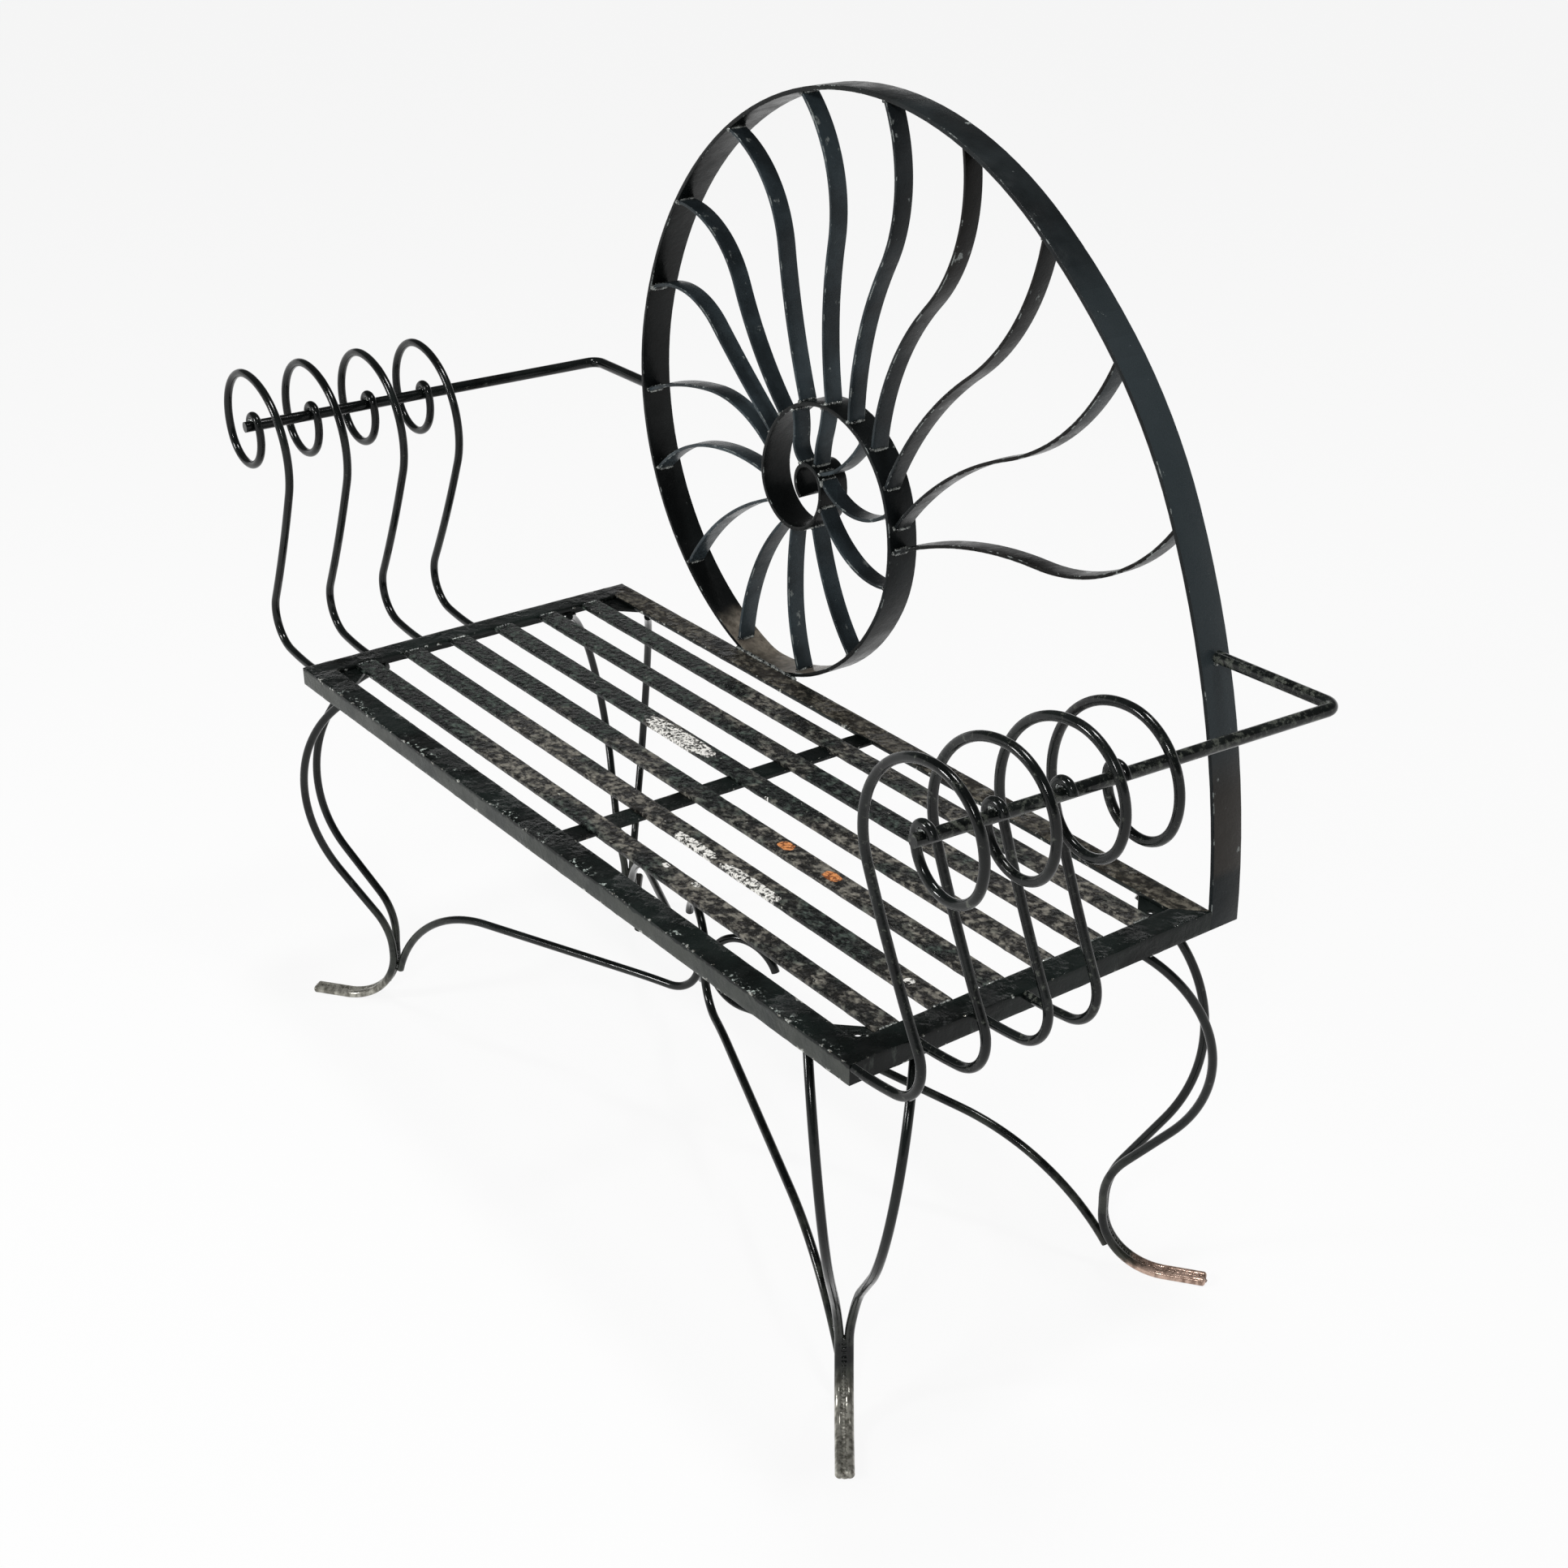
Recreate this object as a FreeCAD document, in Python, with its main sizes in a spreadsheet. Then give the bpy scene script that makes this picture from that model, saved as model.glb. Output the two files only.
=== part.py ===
import FreeCAD, Part
import math
import os

import Sketcher

# A wrought iron loveseat. An angle-iron frame carries flat slats. One long flat bar rises behind
# the right rear corner and winds into a nautilus spiral, with curved ribs between its whorls.
# Scrolled rods hold a round arm rail at each end, and bent rods make the legs and stretchers.
# X runs along the seat, Y from front to back and Z up, from the floor under the seat's middle.

V = FreeCAD.Vector
UP = V(0, 0, 1)
LEFT_TURN = 1
RIGHT_TURN = -1

# Driving dimensions in millimetres and degrees
SIZES = {
    # seat frame
    "seat_length": 1067,
    "seat_depth": 450,
    "seat_height": 453,
    "flange_width": 30,
    "rail_drop": 22,
    "rail_wall": 4.8,
    # slats, the bar under them and the corner plates
    "slat_width": 26,
    "slat_pitch": 63,
    "cross_bar_width": 26,
    "cross_bar_thickness": 4.8,
    "cross_bar_offset": 10,
    "gusset_leg": 93,
    "gusset_thickness": 4,
    "gusset_hole": 8,
    "gusset_hole_inset": 37,
    # round rod, and the gap that a weld fills
    "rod_diameter": 9.5,
    "weld_gap": 0.3,
    # back
    "band_width": 38,
    "band_thickness": 5,
    "rib_width": 22,
    "rib_thickness": 4,
    "first_rib_root": 360,
    "first_rib_tip": 25,
    "first_septum_root": 738,
    "first_septum_tip": 374,
    # the spiral's bends, from its foot to its inner end
    "whorl_radius_1": 930, "whorl_turn_1": 26,
    "whorl_radius_2": 525, "whorl_turn_2": 19,
    "whorl_radius_3": 780, "whorl_turn_3": 10,
    "whorl_radius_4": 465, "whorl_turn_4": 30,
    "whorl_radius_5": 440, "whorl_turn_5": 80,
    "whorl_radius_6": 310, "whorl_turn_6": 86,
    "whorl_radius_7": 82, "whorl_turn_7": 19,
    "whorl_radius_8": 259, "whorl_turn_8": 62,
    "whorl_radius_9": 175, "whorl_turn_9": 46,
    "whorl_radius_10": 117, "whorl_turn_10": 150,
    "whorl_radius_11": 55, "whorl_turn_11": 201,
    "whorl_radius_12": 23, "whorl_turn_12": 223,
    # an arm scroll's bends, from the seat rail to the arm rail
    "scroll_radius_1": 371, "scroll_turn_1": 9,
    "scroll_radius_2": 40, "scroll_turn_2": 109,
    "scroll_radius_3": 1588, "scroll_turn_3": 6,
    "scroll_radius_4": 90, "scroll_turn_4": 112.2,
    "scroll_radius_5": 64, "scroll_turn_5": 111.1,
    "scroll_radius_6": 42, "scroll_turn_6": 182,
    "hook_turn": 159,
    "hook_gap": 0.6,
    # the two arms, made by hand and not quite alike
    "scroll_pitch": 72,
    "scroll_drop": 4.8,
    "scroll_inset_left": 13.5,
    "scroll_inset_right": 5,
    "last_scroll_pull_left": 0,
    "last_scroll_pull_right": 14,
    "arm_lean_left": -0.3,
    "arm_lean_right": 0.4,
    "arm_skew_left": 1,
    "arm_skew_right": -0.95,
    "arm_tuck_left": 0,
    "arm_tuck_right": -18,
    "arm_rail_diameter": 12.7,
    "arm_rail_overhang": 12,
    "arm_rail_bend": 14,
    "arm_rail_setback": 18.5,
    "arm_rail_fall_left": 0,
    "arm_rail_fall_right": 4,
    # legs
    "foot_past_end": 21.5,
    "foot_past_front": 18,
    "foot_angle": 37,
    "foot_length": 45,
    "ankle_radius": 70,
    "spread_radius": 120,
    "shin_length": 69,
    "foot_flat": 0.6,
    "tip_rounding": 3.5,
    "leg_inset_front": 86,
    "leg_inset_side": 97,
    "knee_lean_front": 57,
    "knee_lean_side": 69,
    "knee_share_front": 6.6,
    "knee_share_side": 6.6,
    # stretchers, whose hub is a little off the seat's middle
    "hub_shift_x": -5.5,
    "hub_shift_y": -13.5,
    "curl_radius": 44.5,
    "curl_height": 221,
    "curl_turn": 250,
    "stretcher_run": 230,
    "stretcher_bend_share": 4.6,
    "stretcher_joint_turn_front_left": 72,
    "stretcher_joint_turn_front_right": 55,
    "stretcher_joint_turn_rear_left": 65,
    "stretcher_joint_turn_rear_right": 55,
}

# Each rib's step along the inner and the outer whorl from the rib before it, its lean there, and
# how far its front edge stands behind the band's
RIB_STEPS = (
    (0, 0, 27, 29, 4), (9, 18, 42, 23, 7), (17, 11, 38, 25, 3), (22, 17, 35, 31, 6),
    (20, 15, 20, 31, 1), (21, 19, 10, 32, 3), (22, 19, -2, 37, 1), (22, 19, 1, 36, 1),
    (17, 17, -8, 46, 3), (12, 23, -23, 21, 6), (24, 18, -18, 24, 4), (32, 23, -18, 12, 2),
    (31, 23, -27, 15, 5), (12, 39, -2, 6, 8), (46, 26, -24, 1, 5), (34, 33, -38, 25, 1),
)
SEPTUM_STEPS = ((0, 0, -60, 24, 2), (24, 41, -27, 0, 3), (29, 38, 16, -9, 4), (49, 27, 36, -16, 1))

SCROLL_WAYS = (LEFT_TURN, LEFT_TURN, RIGHT_TURN, RIGHT_TURN, RIGHT_TURN, RIGHT_TURN)
WHORL_BEND_COUNT = 12
SLAT_COUNT = 6
SCROLL_COUNT = 4

doc = FreeCAD.newDocument("Loveseat")
sheet = doc.addObject("Spreadsheet::Sheet", "sizes")
nodes = []


def fill_sheet():
    """Write every driving dimension to a cell of its own, named by an alias."""
    cells = dict(SIZES)
    names = ("root_step", "tip_step", "root_lean", "tip_lean", "setback")
    for kind, steps in (("rib", RIB_STEPS), ("septum", SEPTUM_STEPS)):
        for number, values in enumerate(steps, 1):
            for name, value in zip(names, values):
                cells[f"{kind}_{name}_{number}"] = value
    for row, (alias, value) in enumerate(cells.items(), 1):
        sheet.set(f"A{row}", alias)
        sheet.set(f"B{row}", str(value))
        sheet.setAlias(f"B{row}", alias)
    doc.recompute()


def size(alias):
    return float(sheet.get(alias))


def unit(angle):
    """The unit vector at an angle in a plane."""
    return (math.cos(angle), math.sin(angle))


def left_of(angle):
    return (-math.sin(angle), math.cos(angle))


def shifted(point, direction, distance):
    return (point[0] + direction[0] * distance, point[1] + direction[1] * distance)


# Paths of tangent straight runs and bends in a plane


def run(length, cell=None):
    return {"length": length, "length_cell": cell}


def bend(radius, turn, way, radius_cell=None, turn_cell=None):
    """A bend by a turn in degrees, to the left or to the right."""
    cells = {"radius_cell": radius_cell, "turn_cell": turn_cell}
    return {"radius": radius, "turn": turn, "way": way, **cells}


def sheet_bend(name, number, way):
    """A bend whose radius and turn are cells of the sheet."""
    cells = (f"{name}_radius_{number}", f"{name}_turn_{number}")
    return bend(size(cells[0]), size(cells[1]), way, *cells)


def walk(start, heading, moves):
    """Follow moves from a start point and heading. Each stretch keeps its ends and headings."""
    stretches = []
    for move in moves:
        stretch = dict(move, start=start, heading=heading)
        if "length" in move:
            stretch["end"] = shifted(start, unit(heading), move["length"])
            stretch["last_heading"] = heading
        else:
            reach = move["way"] * move["radius"]
            last_heading = heading + move["way"] * math.radians(move["turn"])
            stretch["centre"] = shifted(start, left_of(heading), reach)
            stretch["last_heading"] = last_heading
            stretch["end"] = shifted(stretch["centre"], left_of(last_heading), -reach)
        start = stretch["end"]
        heading = stretch["last_heading"]
        stretches.append(stretch)
    return stretches


def part_way(stretch, share):
    """The point and heading at a share of a stretch's length."""
    heading = stretch["heading"] + share * (stretch["last_heading"] - stretch["heading"])
    if "length" in stretch:
        return shifted(stretch["start"], unit(heading), share * stretch["length"]), heading
    return shifted(stretch["centre"], left_of(heading), -stretch["way"] * stretch["radius"]), heading


def sampled(stretches, spacing=1.0):
    """Points along a path, for measuring distances."""
    points = []
    for stretch in stretches:
        length = stretch.get("length") or stretch["radius"] * math.radians(stretch["turn"])
        count = math.ceil(length / spacing)
        points += [part_way(stretch, index / count)[0] for index in range(count + 1)]
    return points


def two_bends(start, heading, end, last_heading, share=1.0, straight=0.0):
    """The two tangent bends that join two points with given headings.

    share is the second bend's tangent length over the first one's, and straight the length of
    the straight run between the bends.
    """
    first, last = unit(heading), unit(last_heading)
    gap = (end[0] - start[0], end[1] - start[1])
    along = gap[0] * (first[0] + share * last[0]) + gap[1] * (first[1] + share * last[1])
    along += straight * (1 + share)
    turn_term = 2 * share * (1 - first[0] * last[0] - first[1] * last[1])
    excess = gap[0] ** 2 + gap[1] ** 2 - straight ** 2
    if turn_term < 1e-9:
        tangent = excess / (2 * along)
    else:
        tangent = (math.sqrt(along ** 2 + turn_term * excess) - along) / turn_term
    corner_one = shifted(start, first, tangent)
    corner_two = shifted(end, last, -share * tangent)
    middle_heading = math.atan2(corner_two[1] - corner_one[1], corner_two[0] - corner_one[0])
    run_start = shifted(corner_one, unit(middle_heading), tangent)
    run_end = shifted(run_start, unit(middle_heading), straight)
    bends = []
    for near, far, angle in ((start, run_start, heading), (run_end, end, middle_heading)):
        chord = (far[0] - near[0], far[1] - near[1])
        side = chord[0] * left_of(angle)[0] + chord[1] * left_of(angle)[1]
        ahead = chord[0] * unit(angle)[0] + chord[1] * unit(angle)[1]
        radius = (chord[0] ** 2 + chord[1] ** 2) / (2 * abs(side))
        turn = 2 * math.degrees(math.atan2(abs(side), ahead))
        bends.append(bend(radius, turn, LEFT_TURN if side > 0 else RIGHT_TURN))
    return bends


# Sketches and bodies


def add_body(label, placement):
    body = doc.addObject("PartDesign::Body", label)
    body.Label = label
    body.Placement = placement
    nodes.append(body)
    return body


def add_sketch(body, role, name, place=None):
    """A sketch on one of a body's planes, or on that plane of another place within the body."""
    plane = next(feature for feature in body.Origin.OriginFeatures if feature.Role == role)
    sketch = body.newObject("Sketcher::SketchObject", f"{body.Name}_{name}")
    sketch.AttachmentSupport = [(plane, "")]
    sketch.MapMode = "FlatFace"
    if place:
        doc.recompute()
        on_plane = sketch.Placement
        sketch.AttachmentOffset = on_plane.inverse() * place * on_plane
    return sketch


def bind(sketch, constraint, name, expression=None):
    """Add a named size to a sketch, tied to the sheet where it has an expression."""
    index = sketch.addConstraint(constraint)
    sketch.renameConstraint(index, name)
    if expression:
        sketch.setExpression(f"Constraints.{name}", expression)


def flat_point(point):
    return V(point[0], point[1], 0)


def circle_arc(centre, radius, first, last):
    return Part.ArcOfCircle(Part.Circle(flat_point(centre), UP, radius), first, last)


def polygon(sketch, points):
    """A closed outline of straight lines."""
    ends = points[1:] + points[:1]
    lines = [Part.LineSegment(flat_point(a), flat_point(b)) for a, b in zip(points, ends)]
    sketch.addGeometry(lines)
    count = len(points)
    sketch.addConstraint(
        [Sketcher.Constraint("Coincident", i, 2, (i + 1) % count, 1) for i in range(count)]
    )


def rectangle(sketch, width, height, width_expression, height_expression):
    """A rectangle centred on the sketch's origin."""
    x, y = width / 2, height / 2
    polygon(sketch, [(-x, -y), (x, -y), (x, y), (-x, y)])
    for line, kind in ((0, "Horizontal"), (1, "Vertical"), (2, "Horizontal"), (3, "Vertical")):
        sketch.addConstraint(Sketcher.Constraint(kind, line))
    sketch.addConstraint(Sketcher.Constraint("Symmetric", 0, 1, 2, 1, -1, 1))
    bind(sketch, Sketcher.Constraint("DistanceX", 0, 1, 0, 2, width), "width", width_expression)
    bind(sketch, Sketcher.Constraint("DistanceY", 1, 1, 1, 2, height), "height", height_expression)


def draw_path(sketch, moves):
    """Draw a path that starts at the sketch's origin and heads along its first axis."""
    ends = []
    for index, stretch in enumerate(walk((0, 0), 0, moves)):
        if "length" in stretch:
            sketch.addGeometry(Part.LineSegment(flat_point(stretch["start"]), flat_point(stretch["end"])))
            ends.append((1, 2))
        else:
            # a sketch's arc always runs to the left, so a right-hand bend is drawn from its far end
            angles = [stretch[key] - stretch["way"] * math.pi / 2 for key in ("heading", "last_heading")]
            sketch.addGeometry(circle_arc(stretch["centre"], stretch["radius"], min(angles), max(angles)))
            ends.append((1, 2) if stretch["way"] == LEFT_TURN else (2, 1))
        if index:
            near, far = ends[index - 1][1], ends[index][0]
            sketch.addConstraint(Sketcher.Constraint("Tangent", index - 1, near, index, far))
    sketch.addConstraint(Sketcher.Constraint("Coincident", 0, ends[0][0], -1, 1))
    if "length" in moves[0]:
        sketch.addConstraint(Sketcher.Constraint("Horizontal", 0))
    else:
        sketch.addConstraint(Sketcher.Constraint("Vertical", 0, 3, -1, 1))
    for index, move in enumerate(moves):
        keys = ("length",) if "length" in move else ("radius", "turn")
        for key in keys:
            value = math.radians(move[key]) if key == "turn" else move[key]
            kind = {"length": "Distance", "radius": "Radius", "turn": "Angle"}[key]
            cell = move[f"{key}_cell"]
            expression = f"sizes.{cell}" if cell else None
            bind(sketch, Sketcher.Constraint(kind, index, value), f"{key}_{index + 1}", expression)


def placed(origin, along, across, heading=0.0):
    """The placement whose X axis heads into a path that lies in the plane of two directions."""
    x_axis = along * math.cos(heading) + across * math.sin(heading)
    z_axis = across * math.cos(heading) - along * math.sin(heading)
    return FreeCAD.Placement(origin, FreeCAD.Rotation(x_axis, z_axis.cross(x_axis), z_axis, "XZY"))


def sweep(body, profile, moves, name="bar", place=None):
    spine = add_sketch(body, "XZ_Plane", f"{name}_path", place)
    draw_path(spine, moves)
    pipe = body.newObject("PartDesign::AdditivePipe", f"{body.Name}_{name}")
    pipe.Profile = profile
    pipe.Spine = (spine, [""])
    doc.recompute()
    return pipe


def add_rod(body, moves, diameter="rod_diameter", name="bar", place=None):
    """A round rod bent along a path in one plane of a body."""
    profile = add_sketch(body, "YZ_Plane", f"{name}_section", place)
    profile.addGeometry(Part.Circle(V(), UP, size(diameter) / 2))
    profile.addConstraint(Sketcher.Constraint("Coincident", 0, 3, -1, 1))
    bind(profile, Sketcher.Constraint("Diameter", 0, size(diameter)), "diameter", f"sizes.{diameter}")
    return sweep(body, profile, moves, name, place)


def pad(body, sketch, expression, side="One side", down=False):
    feature = body.newObject("PartDesign::Pad", f"{sketch.Name}_pad")
    feature.Profile = sketch
    feature.SideType = side
    feature.Reversed = down
    feature.setExpression("Length", expression)
    doc.recompute()
    return feature


# Seat


def build_rail(label, length_cell, placement):
    """An angle-iron rail: a flange on top and a leg on its outer side, with mitred ends."""
    body = add_body(label, placement)
    for name, width_cell, height_cell in (
        ("flange", "flange_width", "rail_wall"),
        ("leg", "rail_wall", "rail_drop"),
    ):
        half, width = size(length_cell) / 2, size(width_cell)
        sketch = add_sketch(body, "XY_Plane", name)
        polygon(sketch, [(-half, 0), (half, 0), (half - width, width), (width - half, width)])
        sketch.addConstraint(Sketcher.Constraint("Symmetric", 0, 1, 0, 2, -1, 1))
        sketch.addConstraint(Sketcher.Constraint("Horizontal", 0))
        sketch.addConstraint(Sketcher.Constraint("Horizontal", 2))
        outer, across = f"sizes.{length_cell}", f"sizes.{width_cell}"
        bind(sketch, Sketcher.Constraint("DistanceX", 0, 1, 0, 2, 2 * half), "outer", outer)
        bind(sketch, Sketcher.Constraint("DistanceY", 1, 1, 1, 2, width), "width", across)
        bind(sketch, Sketcher.Constraint("DistanceX", 1, 2, 1, 1, width), "right_mitre", across)
        bind(sketch, Sketcher.Constraint("DistanceX", 3, 2, 3, 1, width), "left_mitre", across)
        pad(body, sketch, f"sizes.{height_cell}", down=True)


def build_seat():
    half_length, half_depth, top = size("seat_length") / 2, size("seat_depth") / 2, size("seat_height")
    for label, cell, x, y, quarter_turns in (
        ("rail_front", "seat_length", 0, -half_depth, 0),
        ("rail_right", "seat_depth", half_length, 0, 1),
        ("rail_rear", "seat_length", 0, half_depth, 2),
        ("rail_left", "seat_depth", -half_length, 0, 3),
    ):
        turn = FreeCAD.Rotation(UP, 90 * quarter_turns)
        build_rail(label, cell, FreeCAD.Placement(V(x, y, top), turn))

    # the slats lie between the end rails, as thick as the flanges and level with them
    for index in range(SLAT_COUNT):
        y = (index - (SLAT_COUNT - 1) / 2) * size("slat_pitch")
        z = top - size("rail_wall") / 2
        body = add_body(f"slat_{index + 1}", FreeCAD.Placement(V(0, y, z), FreeCAD.Rotation()))
        section = add_sketch(body, "YZ_Plane", "section")
        cells = ("slat_width", "rail_wall")
        rectangle(section, *(size(cell) for cell in cells), *(f"sizes.{cell}" for cell in cells))
        length = "sizes.seat_length - 2 * (sizes.flange_width + sizes.weld_gap)"
        pad(body, section, length, "Symmetric")

    # the cross bar runs under the slats and the flanges, from leg to leg of the long rails
    z = top - size("rail_wall") - size("cross_bar_thickness") / 2
    place = FreeCAD.Placement(V(size("cross_bar_offset"), 0, z), FreeCAD.Rotation())
    body = add_body("cross_bar", place)
    section = add_sketch(body, "XZ_Plane", "section")
    cells = ("cross_bar_width", "cross_bar_thickness")
    rectangle(section, *(size(cell) for cell in cells), *(f"sizes.{cell}" for cell in cells))
    pad(body, section, "sizes.seat_depth - 2 * sizes.rail_wall", "Symmetric")


def build_gusset(label, placement):
    """A three-cornered plate with a hole, under the flanges of a corner."""
    body = add_body(label, placement)
    leg, inset = size("gusset_leg"), size("gusset_hole_inset")
    sketch = add_sketch(body, "XY_Plane", "outline")
    polygon(sketch, [(0, 0), (leg, 0), (0, leg)])
    sketch.addConstraint(Sketcher.Constraint("Coincident", 0, 1, -1, 1))
    sketch.addConstraint(Sketcher.Constraint("Horizontal", 0))
    sketch.addConstraint(Sketcher.Constraint("Vertical", 2))
    bind(sketch, Sketcher.Constraint("Distance", 0, leg), "leg_x", "sizes.gusset_leg")
    bind(sketch, Sketcher.Constraint("Distance", 2, leg), "leg_y", "sizes.gusset_leg")
    sketch.addGeometry(Part.Circle(V(inset, inset, 0), UP, size("gusset_hole") / 2))
    bind(sketch, Sketcher.Constraint("Diameter", 3, size("gusset_hole")), "hole", "sizes.gusset_hole")
    bind(sketch, Sketcher.Constraint("DistanceX", -1, 1, 3, 3, inset), "hole_x", "sizes.gusset_hole_inset")
    bind(sketch, Sketcher.Constraint("DistanceY", -1, 1, 3, 3, inset), "hole_y", "sizes.gusset_hole_inset")
    pad(body, sketch, "sizes.gusset_thickness", down=True)


def build_gussets():
    x = size("seat_length") / 2 - size("rail_wall")
    y = size("seat_depth") / 2 - size("rail_wall")
    z = size("seat_height") - size("rail_wall")
    for label, corner_x, corner_y, quarter_turns in (
        ("gusset_front_left", -x, -y, 0),
        ("gusset_front_right", x, -y, 1),
        ("gusset_rear_right", x, y, 2),
        ("gusset_rear_left", -x, y, 3),
    ):
        turn = FreeCAD.Rotation(UP, 90 * quarter_turns)
        build_gusset(label, FreeCAD.Placement(V(corner_x, corner_y, z), turn))


# Back


def band_path():
    """The spiral's centre line, seen from the front, from its foot behind the right rear corner."""
    moves = [sheet_bend("whorl", number, LEFT_TURN) for number in range(1, WHORL_BEND_COUNT + 1)]
    foot = (
        size("seat_length") / 2 - size("band_thickness") / 2,
        size("seat_height") - size("rail_drop"),
    )
    return foot, moves, walk(foot, math.pi / 2, moves)


def band_middle():
    """Halfway through the band's width, which starts at the rear rail's back face."""
    return size("seat_depth") / 2 + size("band_width") / 2


def build_band():
    foot, moves, _ = band_path()
    origin = V(foot[0], band_middle(), foot[1])
    body = add_body("spiral_band", placed(origin, V(1, 0, 0), UP, math.pi / 2))
    profile = add_sketch(body, "YZ_Plane", "section")
    cells = ("band_width", "band_thickness")
    rectangle(profile, *(size(cell) for cell in cells), *(f"sizes.{cell}" for cell in cells))
    sweep(body, profile, moves)


def station(stretches, turn):
    """The point and heading where the spiral has turned by so many degrees."""
    for stretch in stretches:
        if turn <= stretch["turn"]:
            break
        turn -= stretch["turn"]
    return part_way(stretch, turn / stretch["turn"])


def line_on_circle(point, direction, centre, radius, near):
    """Where a line meets a circle, at the crossing that lies nearer to a point."""
    offset = (point[0] - centre[0], point[1] - centre[1])
    half = offset[0] * direction[0] + offset[1] * direction[1]
    root = math.sqrt(half ** 2 - offset[0] ** 2 - offset[1] ** 2 + radius ** 2)
    crossings = [shifted(point, direction, -half + sign * root) for sign in (1, -1)]
    return min(crossings, key=lambda crossing: math.dist(crossing, near))


def draw_rib(sketch, stretches, faces):
    """A flat bar's edge along two bends, with its ends cut along the faces that it meets."""
    half = size("rib_thickness") / 2
    sides = []
    for side in (1, -1):
        radii = [stretch["radius"] - side * stretch["way"] * half for stretch in stretches]
        root, tip = (
            line_on_circle(*face, stretch["centre"], radius, face[0])
            for face, stretch, radius in zip(faces, stretches, radii)
        )
        joint = shifted(stretches[0]["end"], left_of(stretches[0]["last_heading"]), side * half)
        sides.append(([root, joint, tip], radii))
    corners = sides[0][0] + sides[1][0][::-1]
    bends = [0, 1, None, 1, 0, None]
    ends = []
    for index, which in enumerate(bends):
        near, far = corners[index], corners[(index + 1) % len(corners)]
        forwards = True
        if which is None:
            curve = Part.LineSegment(flat_point(near), flat_point(far))
        else:
            # a sketch's arc runs to the left, and each of these spans less than half a circle
            centre = stretches[which]["centre"]
            first, last = (math.atan2(end[1] - centre[1], end[0] - centre[0]) for end in (near, far))
            forwards = (last - first) % (2 * math.pi) < math.pi
            if not forwards:
                first, last = last, first
            last = first + (last - first) % (2 * math.pi)
            curve = circle_arc(centre, sides[index // 3][1][which], first, last)
        sketch.addGeometry(curve)
        ends.append((1, 2) if forwards else (2, 1))
    count = len(bends)
    for index in range(count):
        after = (index + 1) % count
        joint = Sketcher.Constraint("Coincident", index, ends[index][1], after, ends[after][0])
        sketch.addConstraint(joint)
    # the two edges of each bend stay a bar's thickness apart
    for which, opposite in ((0, 4), (1, 3)):
        way = stretches[which]["way"]
        sign = "+" if way == LEFT_TURN else "-"
        name = f"edge_{which + 1}"
        bind(sketch, Sketcher.Constraint("Radius", which, sides[0][1][which]), name)
        other = Sketcher.Constraint("Radius", opposite, sides[1][1][which])
        bind(sketch, other, f"far_{name}", f".Constraints.{name} {sign} sizes.rib_thickness * 1 mm")


def build_rib(label, band, root_turn, tip_turn, root_lean, tip_lean, setback):
    """A curved wall from the outer face of one whorl to the inner face of the next one out."""
    stand_off = size("band_thickness") / 2 + size("weld_gap")
    faces, ends = [], []
    for turn, lean, side in ((root_turn, root_lean, -1), (tip_turn, tip_lean, 1)):
        point, heading = station(band, turn)
        point = shifted(point, left_of(heading), side * stand_off)
        faces.append((point, unit(heading)))
        ends.append((point, heading - math.pi / 2 + math.radians(lean)))
    (root, root_heading), (tip, tip_heading) = ends
    stretches = walk(root, root_heading, two_bends(root, root_heading, tip, tip_heading))
    y = size("seat_depth") / 2 + setback + size("rib_width") / 2
    body = add_body(label, FreeCAD.Placement(V(0, y, 0), FreeCAD.Rotation()))
    sketch = add_sketch(body, "XZ_Plane", "outline")
    draw_rib(sketch, stretches, faces)
    pad(body, sketch, "sizes.rib_width", "Symmetric")


def build_ribs():
    band = band_path()[2]
    for kind, steps in (("rib", RIB_STEPS), ("septum", SEPTUM_STEPS)):
        root, tip = size(f"first_{kind}_root"), size(f"first_{kind}_tip")
        for number in range(1, len(steps) + 1):
            root += size(f"{kind}_root_step_{number}")
            tip += size(f"{kind}_tip_step_{number}")
            rest = (size(f"{kind}_{name}_{number}") for name in ("root_lean", "tip_lean", "setback"))
            build_rib(f"{kind}_{number}", band, root, tip, *rest)


# Arms


def hook_radius():
    """The last bend of a scroll, which wraps round the arm rail."""
    return size("arm_rail_diameter") / 2 + size("rod_diameter") / 2 + size("hook_gap")


def scroll_path(arm, pitches):
    """A scroll that stands so many pitches behind its arm's first one.

    The scrolls of an arm lean out more or less in turn, so that their hooks follow a straight rail.
    """
    moves = [sheet_bend("scroll", number, way) for number, way in enumerate(SCROLL_WAYS, 1)]
    lean = size(f"arm_lean_{arm}") + pitches * size(f"arm_skew_{arm}")
    moves[1]["turn"] += lean
    moves[1]["turn_cell"] += f" + sizes.arm_lean_{arm} + {pitches:.6f} * sizes.arm_skew_{arm}"
    moves[-1]["turn"] += size(f"arm_tuck_{arm}")
    moves[-1]["turn_cell"] += f" + sizes.arm_tuck_{arm}"
    moves.append(bend(hook_radius(), size("hook_turn"), RIGHT_TURN, turn_cell="hook_turn"))
    start = (size("seat_length") / 2, size("seat_height") - size("scroll_drop"))
    return start, moves, walk(start, 0, moves)


def scroll_places(arm):
    """How far back each scroll of an arm stands, the last one pulled forward a little."""
    first = -size("seat_depth") / 2 + size(f"scroll_inset_{arm}")
    places = [first + index * size("scroll_pitch") for index in range(SCROLL_COUNT)]
    places[-1] -= size(f"last_scroll_pull_{arm}")
    return places


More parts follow.
